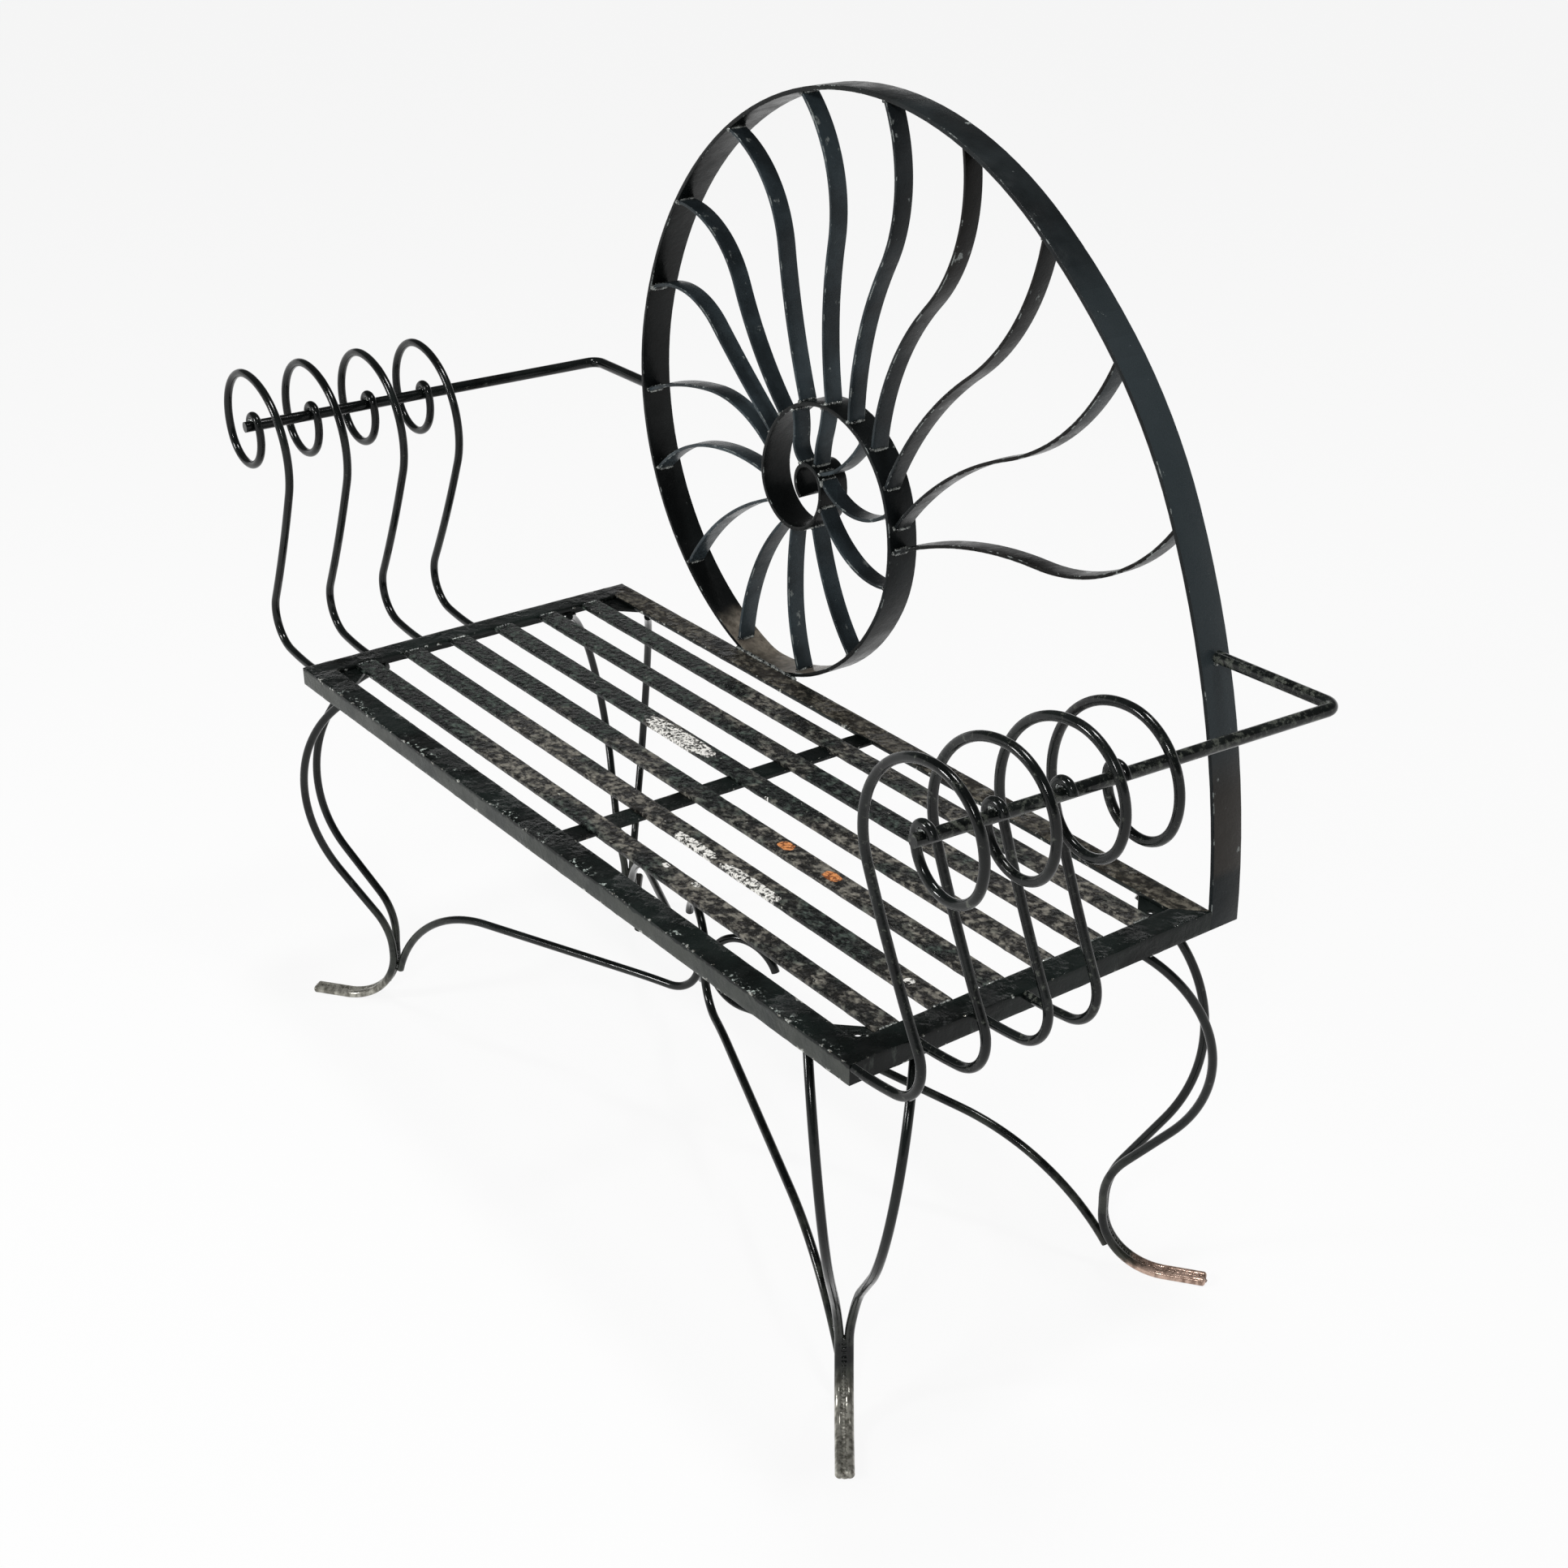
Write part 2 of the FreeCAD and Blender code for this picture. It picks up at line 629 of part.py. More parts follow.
def band_face(height, side):
    """How far the band's outer face reaches to one side, over an arm rail's height there."""
    reach = size("arm_rail_diameter") / 2
    outer = [
        side * point[0]
        for point in sampled(band_path()[2][:6])
        if abs(point[1] - height) < reach + size("band_thickness") and side * point[0] > 0
    ]
    return max(outer) + size("band_thickness") / 2


def build_arm_rail(arm, side, hooks):
    """A round rail through the scrolls' hooks, bent inwards behind them to meet the band."""
    along = (hooks[-1] - hooks[0]).normalize()
    front = hooks[0] - along * size("arm_rail_overhang")
    line_y = size("seat_depth") / 2 + size("arm_rail_setback")
    corner = front + along * ((line_y - front.y) / along.y)
    joint_z = corner.z - size(f"arm_rail_fall_{arm}")
    joint = V(side * (band_face(joint_z, side) + size("weld_gap")), line_y, joint_z)
    inward = joint - corner
    turn = along.getAngle(inward)
    across = (inward - along * inward.dot(along)).normalize()
    radius = size("arm_rail_bend")
    cut_back = radius * math.tan(turn / 2)
    moves = [
        run((corner - front).Length - cut_back),
        bend(radius, math.degrees(turn), LEFT_TURN, radius_cell="arm_rail_bend"),
        run(inward.Length - cut_back),
    ]
    add_rod(add_body(f"arm_rail_{arm}", placed(front, along, across)), moves, "arm_rail_diameter")


def build_arms():
    for arm, side in (("left", -1), ("right", 1)):
        places = scroll_places(arm)
        hooks = []
        for number, y in enumerate(places, 1):
            start, moves, stretches = scroll_path(arm, (y - places[0]) / size("scroll_pitch"))
            place = placed(V(side * start[0], y, start[1]), V(side, 0, 0), UP)
            add_rod(add_body(f"scroll_{arm}_{number}", place), moves)
            x, z = stretches[-1]["centre"]
            hooks.append(V(side * x, y, z))
        build_arm_rail(arm, side, hooks)


# Legs and stretchers, worked out for a corner where X and Y both point outwards


def foot_frame():
    """The end of the foot on its middle line, and the directions along and across it."""
    angle = math.radians(size("foot_angle"))
    tip = V(
        size("seat_length") / 2 + size("foot_past_end"),
        size("seat_depth") / 2 + size("foot_past_front"),
        size("rod_diameter") / 2 - size("foot_flat"),
    )
    return tip, V(math.cos(angle), math.sin(angle), 0), V(-math.sin(angle), math.cos(angle), 0)


def leg_rod(kind, inset):
    """One of a leg's two rods, whose top is set in from the seat's outer face.

    It runs in three planes: the foot and ankle stand upright, side by side with the other rod,
    a short bend spreads the rods, and the shin and knee lie in the plane that leans that way.
    Returns each plane's origin, its two directions, the heading there and the moves.
    """
    tip, along, across = foot_frame()
    x, y = size("seat_length") / 2, size("seat_depth") / 2
    top_z = size("seat_height") - size("rail_wall") - size("gusset_thickness")
    top_z -= size("weld_gap") + size("rod_diameter") / 2
    if kind == "front":
        aside = across
        top = V(x - size("leg_inset_front"), y - inset, top_z)
    else:
        aside = across * -1
        top = V(x - inset, y - size("leg_inset_side"), top_z)
    tip = tip + aside * ((size("rod_diameter") + size("weld_gap")) / 2)
    inward = along * -1
    foot, ankle, shin = (size(cell) for cell in ("foot_length", "ankle_radius", "shin_length"))
    spread = size("spread_radius")
    ankle_top = tip + inward * (foot + ankle) + UP * ankle
    rise = top - ankle_top
    lean = 0.0
    for _ in range(20):
        drift = rise.dot(aside) - spread * (1 - math.cos(lean))
        lean = math.atan2(drift, rise.z - spread * math.sin(lean))
    shank = UP * math.cos(lean) + aside * math.sin(lean)
    shin_start = ankle_top + aside * (spread * (1 - math.cos(lean))) + UP * (spread * math.sin(lean))
    rise = top - shin_start
    end = (rise.dot(inward), rise.dot(shank))
    upright = math.pi / 2
    last_heading = upright - math.radians(size(f"knee_lean_{kind}"))
    calf, knee = two_bends((0, 0), upright, end, last_heading, size(f"knee_share_{kind}"), shin)
    ankle_moves = [run(foot, "foot_length"), bend(ankle, 90, LEFT_TURN, "ankle_radius")]
    spread_moves = [bend(spread, math.degrees(lean), RIGHT_TURN, "spread_radius")]
    return [
        (tip, inward, UP, 0, ankle_moves),
        (ankle_top, aside, UP, upright, spread_moves),
        (shin_start, inward, shank, upright, [calf, run(shin, "shin_length"), knee]),
    ]


def points_in_space(planes):
    return [
        origin + along * x + up * z
        for origin, along, up, heading, moves in planes
        for x, z in sampled(walk((0, 0), heading, moves))
    ]


def seated_leg_rod(kind):
    """The leg rod that just passes inside the lower edge of the rail's leg."""
    clear = size("rod_diameter") / 2 + size("weld_gap")
    edge_z = size("seat_height") - size("rail_drop")
    across = {"front": 1, "side": 0}[kind]
    edge = (size("seat_depth") if kind == "front" else size("seat_length")) / 2 - size("rail_wall")
    near, far = 0.0, size("leg_inset_front") + size("leg_inset_side")
    for _ in range(40):
        inset = (near + far) / 2
        points = points_in_space(leg_rod(kind, inset))
        if min(math.hypot(point[across] - edge, point.z - edge_z) for point in points) < clear:
            near = inset
        else:
            far = inset
    return leg_rod(kind, far)


def at_corner(vector, x_side, y_side):
    return V(vector.x * x_side, vector.y * y_side, vector.z)


def finish_foot(body):
    """Round the end of the foot, and cut a flat along its underside, where it stands on the floor."""
    radius, depth = size("rod_diameter") / 2, size("foot_flat")
    tip_edges = [
        f"Edge{index}"
        for index, edge in enumerate(body.Tip.Shape.Edges, 1)
        if edge.BoundBox.XMax < radius / 100
    ]
    rod = body.Tip
    rounding = body.newObject("PartDesign::Fillet", f"{body.Name}_tip")
    rounding.Base = (rod, tip_edges)
    rounding.setExpression("Radius", "sizes.tip_rounding")
    doc.recompute()
    before = body.Shape.Volume
    sketch = add_sketch(body, "YZ_Plane", "flat")
    face, below = depth - radius, -2 * radius
    polygon(sketch, [(2 * radius, face), (-2 * radius, face), (-2 * radius, below), (2 * radius, below)])
    line_offset = Sketcher.Constraint("Distance", -1, 1, 0, radius - depth)
    bind(sketch, line_offset, "offset", "sizes.rod_diameter / 2 - sizes.foot_flat")
    cut = body.newObject("PartDesign::Pocket", f"{body.Name}_flat_cut")
    cut.Profile = sketch
    cut.Reversed = True
    cut.setExpression("Length", "sizes.foot_length + 2 * sizes.rod_diameter")
    doc.recompute()
    if body.Shape.Volume >= before:
        raise RuntimeError(f"{body.Label}: the flat removed nothing")


def build_leg(name, x_side, y_side):
    for kind in ("front", "side"):
        places, paths = [], []
        for origin, along, up, heading, moves in seated_leg_rod(kind):
            ends = (at_corner(vector, x_side, y_side) for vector in (origin, along, up))
            places.append(placed(*ends, heading))
            paths.append(moves)
        body = add_body(f"leg_{name}_{kind}_rod", places[0])
        for part, place, moves in zip(("foot", "spread", "knee"), places, paths):
            add_rod(body, moves, name=part, place=places[0].inverse() * place)
        finish_foot(body)


def stretcher_path(end, dive):
    """From the free end of the curl round to the foot, in the stretcher's own upright plane."""
    radius, turn = size("curl_radius"), size("curl_turn")
    centre = (radius, size("curl_height"))
    heading = -math.radians(turn)
    start = shifted(centre, left_of(heading), -radius)
    bottom = shifted(centre, left_of(0), -radius)
    straight = size("stretcher_run")
    slope, hump = two_bends(bottom, 0, end, -dive, size("stretcher_bend_share"), straight)
    curl = bend(radius, turn, LEFT_TURN, "curl_radius", "curl_turn")
    return start, heading, [curl, slope, run(straight, "stretcher_run"), hump]


def build_stretcher(name, x_side, y_side):
    """A stretcher from the hub to the outside of a leg's ankle bend.

    It ends along that bend, in the groove between the leg's two rods.
    """
    clear = size("rod_diameter") + size("weld_gap")
    tip, along, _ = foot_frame()
    turn = math.radians(size(f"stretcher_joint_turn_{name}"))
    ankle = size("ankle_radius")
    reach = ankle + clear * math.cos(math.pi / 6) + size("weld_gap")
    joint = tip - along * (size("foot_length") + reach * math.sin(turn))
    height = joint.z + ankle - reach * math.cos(turn)
    joint = at_corner(joint, x_side, y_side)
    hub = at_corner(V(clear / 2, clear / 2, 0), x_side, y_side)
    hub = hub + V(size("hub_shift_x"), size("hub_shift_y"), 0)
    outward = V(joint.x - hub.x, joint.y - hub.y, 0)
    start, heading, moves = stretcher_path((outward.Length, height), turn)
    outward.normalize()
    start = hub + outward * start[0] + UP * start[1]
    add_rod(add_body(f"stretcher_{name}", placed(start, outward, UP, heading)), moves)


def build_legs():
    for name, x_side, y_side in (
        ("front_left", -1, -1),
        ("front_right", 1, -1),
        ("rear_left", -1, 1),
        ("rear_right", 1, 1),
    ):
        build_leg(name, x_side, y_side)
        build_stretcher(name, x_side, y_side)


def check_model():
    for item in doc.Objects:
        if "Invalid" in item.State or "Error" in item.State:
            raise RuntimeError(f"{item.Label} failed: {item.State}")
    for body in nodes:
        if body.Shape.isNull() or not body.Shape.isValid() or len(body.Shape.Solids) != 1:
            raise RuntimeError(f"{body.Label} has no sound solid")


fill_sheet()
build_seat()
build_gussets()
build_band()
build_ribs()
build_arms()
build_legs()
check_model()
os.makedirs("parts", exist_ok=True)
for body in nodes:
    body.Shape.exportStep(f"parts/{body.Label}.step")
print(len(nodes), "parts written")
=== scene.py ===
import math

import bmesh
import bpy
from mathutils import Matrix, Vector, noise
from mathutils.bvhtree import BVHTree


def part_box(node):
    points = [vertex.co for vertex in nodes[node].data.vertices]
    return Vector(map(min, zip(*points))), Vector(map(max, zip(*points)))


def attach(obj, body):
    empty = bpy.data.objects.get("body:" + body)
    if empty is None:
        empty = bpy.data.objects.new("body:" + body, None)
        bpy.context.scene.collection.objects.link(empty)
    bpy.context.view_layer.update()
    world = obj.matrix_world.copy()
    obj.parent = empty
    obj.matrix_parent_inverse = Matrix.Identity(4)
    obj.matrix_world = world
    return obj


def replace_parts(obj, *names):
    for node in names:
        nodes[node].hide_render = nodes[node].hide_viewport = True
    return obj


# Looks of the wrought iron loveseat: worn black paint, weathered slats, weld beads, studio, camera

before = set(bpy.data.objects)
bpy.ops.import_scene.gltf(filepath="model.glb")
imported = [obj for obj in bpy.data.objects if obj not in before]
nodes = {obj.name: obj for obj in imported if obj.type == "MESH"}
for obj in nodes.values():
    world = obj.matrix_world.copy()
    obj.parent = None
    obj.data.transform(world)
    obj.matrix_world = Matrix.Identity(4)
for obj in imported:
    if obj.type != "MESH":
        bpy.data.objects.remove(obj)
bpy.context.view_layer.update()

MM = 0.001
X, Y, UP = Vector((1, 0, 0)), Vector((0, 1, 0)), Vector((0, 0, 1))
CORNERS = ("front_left", "front_right", "rear_left", "rear_right")
RAILS = ["rail_front", "rail_rear", "rail_left", "rail_right"]
SLATS = [f"slat_{number}" for number in range(1, 7)]
GUSSETS = [f"gusset_{corner}" for corner in CORNERS]
RIBS = [f"rib_{number}" for number in range(1, 17)] + [f"septum_{number}" for number in range(1, 5)]
LEFT_SCROLLS = [f"scroll_left_{number}" for number in range(1, 5)]
RIGHT_SCROLLS = [f"scroll_right_{number}" for number in range(1, 5)]
SCROLLS = LEFT_SCROLLS + RIGHT_SCROLLS
ARM_RAILS = ["arm_rail_left", "arm_rail_right"]
LEGS = [f"leg_{corner}_{kind}_rod" for corner in CORNERS for kind in ("front", "side")]
STRETCHERS = [f"stretcher_{corner}" for corner in CORNERS]

SEAT_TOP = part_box("rail_front")[1].z
SEAT_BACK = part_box("rail_rear")[1].y
SEAT_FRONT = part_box("rail_front")[0].y
FLOOR_LEVEL = 0.0

# Paint

# Marks on the slats, in millimetres from the seat's middle: left, right, front and back edge
FLAKED_PATCHES = ((-171, -46, 17, 40), (80, 150, -109, -96), (166, 262, -109, -96))
RUST_PATCHES = ((163, 183, -36, -22), (241, 264, -38, -24))
WHITE_CHIPS = ((127, 138, -154, -147), (178, 190, -153, -146), (69, 75, 14, 20), (450, 461, -99, -90))

# How square the marks are, and where their rim fades in and is full, as shares of their reach
PATCH_SQUARENESS = 3.0
PATCH_RIM = (1.15, 0.85)

# Where blotches fade in and are full, as levels of the noise that they are drawn from
MOTTLING = (0.35, 0.7)
UNEVENNESS = (0.3, 0.7)
DUST_BLEND = 0.14
NICK_BLEND = 0.06

# Each pair says where a finish starts and where it is full
# On the legs, as heights: thin paint, bare metal, and copper on the rear right foot
THIN_PAINT = (190 * MM, 90 * MM)
BARE_FOOT = (54 * MM, 10 * MM)
COPPER_TIP = (22 * MM, 9 * MM)
# On the front rail: chalk below the paint's hem, as heights, and a painted highlight of pale specks along the
# front edge
CHALK = (SEAT_TOP - 2.5 * MM, SEAT_TOP - 4 * MM)
PAINTED_GLINT_EDGE = (SEAT_FRONT + 15 * MM, SEAT_FRONT + 5 * MM)
# On the slats: the greener left side
GREENER_SIDE = (-100 * MM, -450 * MM)
# On the back: the band's right end, its start and its bluer part as heights, and the stain low down
RIGHT_END = (200 * MM, 350 * MM)
RIGHT_END_START = (SEAT_TOP + 30 * MM, SEAT_TOP + 44 * MM)
BLUER_PART = (SEAT_TOP + 110 * MM, SEAT_TOP + 190 * MM)
STAIN = (SEAT_TOP + 34 * MM, SEAT_TOP + 16 * MM)

# How metallic bare spots are, and how much of the floor glows where it is seen
BARE_METAL, BARE_WELD = 0.4, 0.3
FLOOR_GLOW = 0.9


def srgb(red, green, blue):
    """A colour written as it looks on a screen, 0 to 255, as the linear value that a shader takes."""
    shares = [value / 255 for value in (red, green, blue)]
    return tuple(s / 12.92 if s <= 0.04045 else ((s + 0.055) / 1.055) ** 2.4 for s in shares) + (1.0,)


class Paint:
    """A node material, with short calls for the nodes that it needs. Sizes are in metres."""

    def __init__(self, name):
        self.material = bpy.data.materials.new(name)
        self.material.use_nodes = True
        self.tree = self.material.node_tree
        self.tree.nodes.clear()
        self.output = self.add("ShaderNodeOutputMaterial")
        self.place = self.add("ShaderNodeTexCoord").outputs["Object"]
        self.face = self.add("ShaderNodeNewGeometry").outputs["True Normal"]

    def add(self, kind, **settings):
        node = self.tree.nodes.new(kind)
        for key, value in settings.items():
            setattr(node, key, value)
        return node

    def put(self, value, socket):
        if isinstance(value, bpy.types.NodeSocket):
            self.tree.links.new(value, socket)
        else:
            socket.default_value = value

    def math(self, kind, first, second=0.0, clamp=False):
        node = self.add("ShaderNodeMath", operation=kind, use_clamp=clamp)
        self.put(first, node.inputs[0])
        self.put(second, node.inputs[1])
        return node.outputs[0]

    def vector(self, kind, first, second):
        node = self.add("ShaderNodeVectorMath", operation=kind)
        self.put(first, node.inputs[0])
        self.put(second, node.inputs["Scale" if kind == "SCALE" else 1])
        return node.outputs[0]

    def mix(self, share, first, second):
        node = self.add("ShaderNodeMix", data_type="RGBA")
        self.put(share, node.inputs[0])
        self.put(first, node.inputs[6])
        self.put(second, node.inputs[7])
        return node.outputs[2]

    def span(self, value, low, high, start=0.0, end=1.0):
        """A value between low and high, eased to run from start to end."""
        node = self.add("ShaderNodeMapRange", interpolation_type="SMOOTHSTEP")
        for key, number in zip(("Value", "From Min", "From Max", "To Min", "To Max"),
                               (value, low, high, start, end)):
            self.put(number, node.inputs[key])
        return node.outputs["Result"]

    def part(self, vector, axis):
        node = self.add("ShaderNodeSeparateXYZ")
        self.put(vector, node.inputs[0])
        return node.outputs[axis]

    def along(self, axis):
        return self.part(self.place, axis)

    def beyond(self, axis, reach):
        """0 on one side of the seat's middle and 1 on the other, blended over the reach."""
        return self.span(self.along(axis), -reach, reach)

    def facing(self, axis, low, high):
        """1 where a face looks along an axis and 0 where it looks away, eased from low to high."""
        return self.span(self.part(self.face, axis), low, high)

    def worn_edge(self):
        return self.add("ShaderNodeAttribute", attribute_name="edge").outputs["Fac"]

    def stretched(self, x, y, z):
        return self.vector("MULTIPLY", self.place, (x, y, z))

    def noise(self, size, detail=5.0, roughness=0.6, seed=0.0, where=None, output="Fac"):
        """Noise whose blotches are about so large."""
        node = self.add("ShaderNodeTexNoise", noise_dimensions="4D")
        settings = (("Vector", where or self.place), ("W", seed), ("Scale", 1 / size),
                    ("Detail", detail), ("Roughness", roughness))
        for key, value in settings:
            self.put(value, node.inputs[key])
        return node.outputs[output]

    def swing(self, size, reach, seed):
        """Noise that swings about nought, as far as the reach."""
        return self.math("MULTIPLY", self.math("SUBTRACT", self.noise(size, seed=seed), 0.5), 2 * reach)

    def mottled(self, size, first, second):
        """Two colours in soft blotches."""
        return self.mix(self.span(self.noise(size), *MOTTLING), first, second)

    def uneven(self, size, seed, low, high):
        """A value that goes from low to high in soft blotches."""
        return self.span(self.noise(size, seed=seed), *UNEVENNESS, low, high)

    def cells(self, size, where):
        """The distance from the middle of cells that are about so large."""
        node = self.add("ShaderNodeTexVoronoi")
        self.put(where, node.inputs["Vector"])
        self.put(1 / size, node.inputs["Scale"])
        return node.outputs["Distance"]

    def pushed(self, size, reach):
        """The place on the object, pushed about, so that what is drawn there turns ragged."""
        way = self.vector("SUBTRACT", self.noise(size, output="Color"), (0.5, 0.5, 0.5))
        return self.vector("ADD", self.place, self.vector("SCALE", way, 2 * reach))

    def patch(self, left, right, front, back, ragged):
        """1 inside a box on the seat, given in millimetres, and 0 outside its ragged rim."""
        reach = []
        for axis, low, high in (("X", left, right), ("Y", front, back)):
            offset = self.math("SUBTRACT", self.along(axis), (low + high) / 2 * MM)
            share = self.math("DIVIDE", self.math("ABSOLUTE", offset), (high - low) / 2 * MM)
            reach.append(self.math("POWER", share, PATCH_SQUARENESS))
        return self.span(self.math("ADD", self.math("ADD", *reach), ragged), *PATCH_RIM)

    def patches(self, boxes, ragged):
        found = self.patch(*boxes[0], ragged)
        for box in boxes[1:]:
            found = self.math("MAXIMUM", found, self.patch(*box, ragged))
        return found

    def bump(self, height, depth, under=None):
        node = self.add("ShaderNodeBump")
        self.put(depth, node.inputs["Distance"])
        self.put(height, node.inputs["Height"])
        if under is not None:
            self.put(under, node.inputs["Normal"])
        return node.outputs["Normal"]

    def finish(self, colour, roughness, normal, specular, metallic=0.0):
        shader = self.add("ShaderNodeBsdfPrincipled")
        for key, value in (("Base Color", colour), ("Roughness", roughness), ("Metallic", metallic),
                           ("Specular IOR Level", specular), ("Normal", normal)):
            self.put(value, shader.inputs[key])
        self.put(shader.outputs[0], self.output.inputs["Surface"])
        return self.material


def scaly(paint):
    """The tone of rusted, painted-over scale in flakes a few millimetres wide, and its height."""
    where = paint.pushed(9 * MM, 5 * MM)
    shade = paint.span(paint.noise(10 * MM, detail=3, where=where, seed=19), 0.36, 0.66, 0.0, 0.55)
    strokes = paint.noise(4 * MM, detail=4, roughness=0.65, where=paint.stretched(0.55, 1.0, 1.0))
    grain = paint.span(strokes, 0.35, 0.72, 0.0, 0.5)
    tone = paint.math("ADD", shade, grain)
    height = paint.math("ADD", paint.cells(6.5 * MM, where), paint.math("MULTIPLY", tone, 0.6))
    return tone, height


def rod_paint(name, dust_from, dust_share, lumps, gloss):
    """Gloss black on the round rods, with dust in it, and feet rubbed to bare metal.

    The metal is grey on the front feet, copper on the rear right one and dark on the rear left one.
    """
    paint = Paint(name)
    colour = paint.mottled(70 * MM, srgb(6, 8, 8), srgb(24, 28, 27))
    specks = paint.noise(8 * MM, detail=6, roughness=0.7, seed=3)
    dust = paint.span(specks, dust_from, dust_from + DUST_BLEND, 0.0, dust_share)
    colour = paint.mix(dust, colour, srgb(112, 116, 107))
    height = paint.math("ADD", paint.along("Z"), paint.swing(22 * MM, 14 * MM, seed=9))
    thin = paint.math("MULTIPLY", paint.span(height, *THIN_PAINT),
                      paint.span(paint.noise(30 * MM, seed=17), 0.42, 0.6, 0.0, 0.8))
    colour = paint.mix(thin, colour, srgb(58, 61, 55))
    streaks = paint.noise(6 * MM, detail=3, where=paint.stretched(1.0, 1.0, 0.3), seed=5)
    streaks = paint.span(streaks, 0.35, 0.65)
    grey = paint.mix(streaks, srgb(108, 106, 97), srgb(184, 182, 172))
    copper = paint.mix(streaks, srgb(136, 111, 97), srgb(216, 186, 169))
    copper = paint.mix(paint.span(height, *COPPER_TIP), srgb(70, 71, 64), copper)
    rear = paint.mix(paint.beyond("X", 50 * MM), srgb(50, 49, 46), copper)
    metal = paint.mix(paint.beyond("Y", 50 * MM), grey, rear)
    bare = paint.span(height, *BARE_FOOT)
    colour = paint.mix(bare, colour, metal)
    rough = paint.uneven(26 * MM, 5, 0.1, 0.22)
    normal = paint.bump(paint.noise(30 * MM, detail=2), 0.6 * MM)
    normal = paint.bump(paint.noise(4.5 * MM, detail=3), lumps, normal)
    return paint.finish(colour, rough, normal, gloss, paint.math("MULTIPLY", bare, BARE_METAL))


def frame_paint(name, chipped, chalky=False, weathered=False):
    """Green-black on the angle iron, with chipped edges.

    The front rail's outer face is chalky below the paint that hangs over its edge, and its top carries a
    painted highlight of pale specks in clusters along the front edge. The top of the rear rail has weathered
    like the slats.
    """
    paint = Paint(name)
    colour = paint.mottled(85 * MM, srgb(8, 11, 10), srgb(24, 31, 29))
    top = paint.facing("Z", 0.6, 0.95)
    smears = paint.noise(11 * MM, detail=4, where=paint.stretched(1.0, 1.0, 0.3), seed=15)
    smears = paint.math("SUBTRACT", paint.span(smears, 0.6, 0.72, 0.0, 0.35), top, clamp=True)
    colour = paint.mix(smears, colour, srgb(96, 103, 97))
    if chalky:
        tone = paint.span(paint.noise(60 * MM, where=paint.stretched(1.6, 1.0, 0.5), seed=2), 0.35, 0.65)
        chalk = paint.mix(tone, srgb(47, 51, 49), srgb(62, 65, 61))
        hem = paint.math("ADD", paint.along("Z"), paint.swing(15 * MM, 7 * MM, seed=6))
        below = paint.span(hem, *CHALK)
        outer = paint.facing("Y", -0.6, -0.95)
        colour = paint.mix(paint.math("MULTIPLY", below, outer), colour, chalk)
        # Painted highlight: pale specks drawn into the colour of the top, in clusters near the front edge
        rim = paint.span(paint.along("Y"), *PAINTED_GLINT_EDGE)
        rim = paint.math("MULTIPLY", rim, paint.span(paint.noise(70 * MM, detail=2, seed=31), 0.5, 0.58))
        rim = paint.math("MULTIPLY", rim, top)
        painted_glints = paint.span(paint.noise(5.5 * MM, detail=4, roughness=0.7, seed=33), 0.56, 0.64)
        colour = paint.mix(paint.math("MULTIPLY", rim, painted_glints), colour, srgb(186, 196, 190))
    tone, height = scaly(paint)
    if weathered:
        brown = paint.mix(paint.span(tone, 0.25, 0.95), srgb(46, 43, 38), srgb(126, 121, 109))
        scaled = paint.math("MULTIPLY", top, paint.span(paint.noise(90 * MM, seed=7), 0.36, 0.48))
        colour = paint.mix(scaled, colour, brown)
    edges = paint.math("MULTIPLY", paint.worn_edge(), chipped)
    flaked = paint.math("ADD", edges, paint.noise(7 * MM, seed=4))
    worn = paint.span(flaked, 0.71, 0.76)
    bare = paint.mix(paint.span(paint.noise(3 * MM), 0.4, 0.6), srgb(196, 200, 196), srgb(118, 114, 104))
    colour = paint.mix(worn, colour, bare)
    rough = paint.uneven(24 * MM, 8, 0.16, 0.42)
    blistered = paint.span(paint.noise(65 * MM, seed=11), 0.48, 0.6, 0.1, 1.0)
    blistered = paint.math("MULTIPLY", blistered, paint.math("ADD", top, 0.15))
    normal = paint.bump(paint.noise(26 * MM), 1.2 * MM)
    normal = paint.bump(paint.math("MULTIPLY", height, blistered), 1.8 * MM, normal)
    return paint.finish(colour, rough, normal, 0.16, paint.math("MULTIPLY", worn, BARE_METAL))


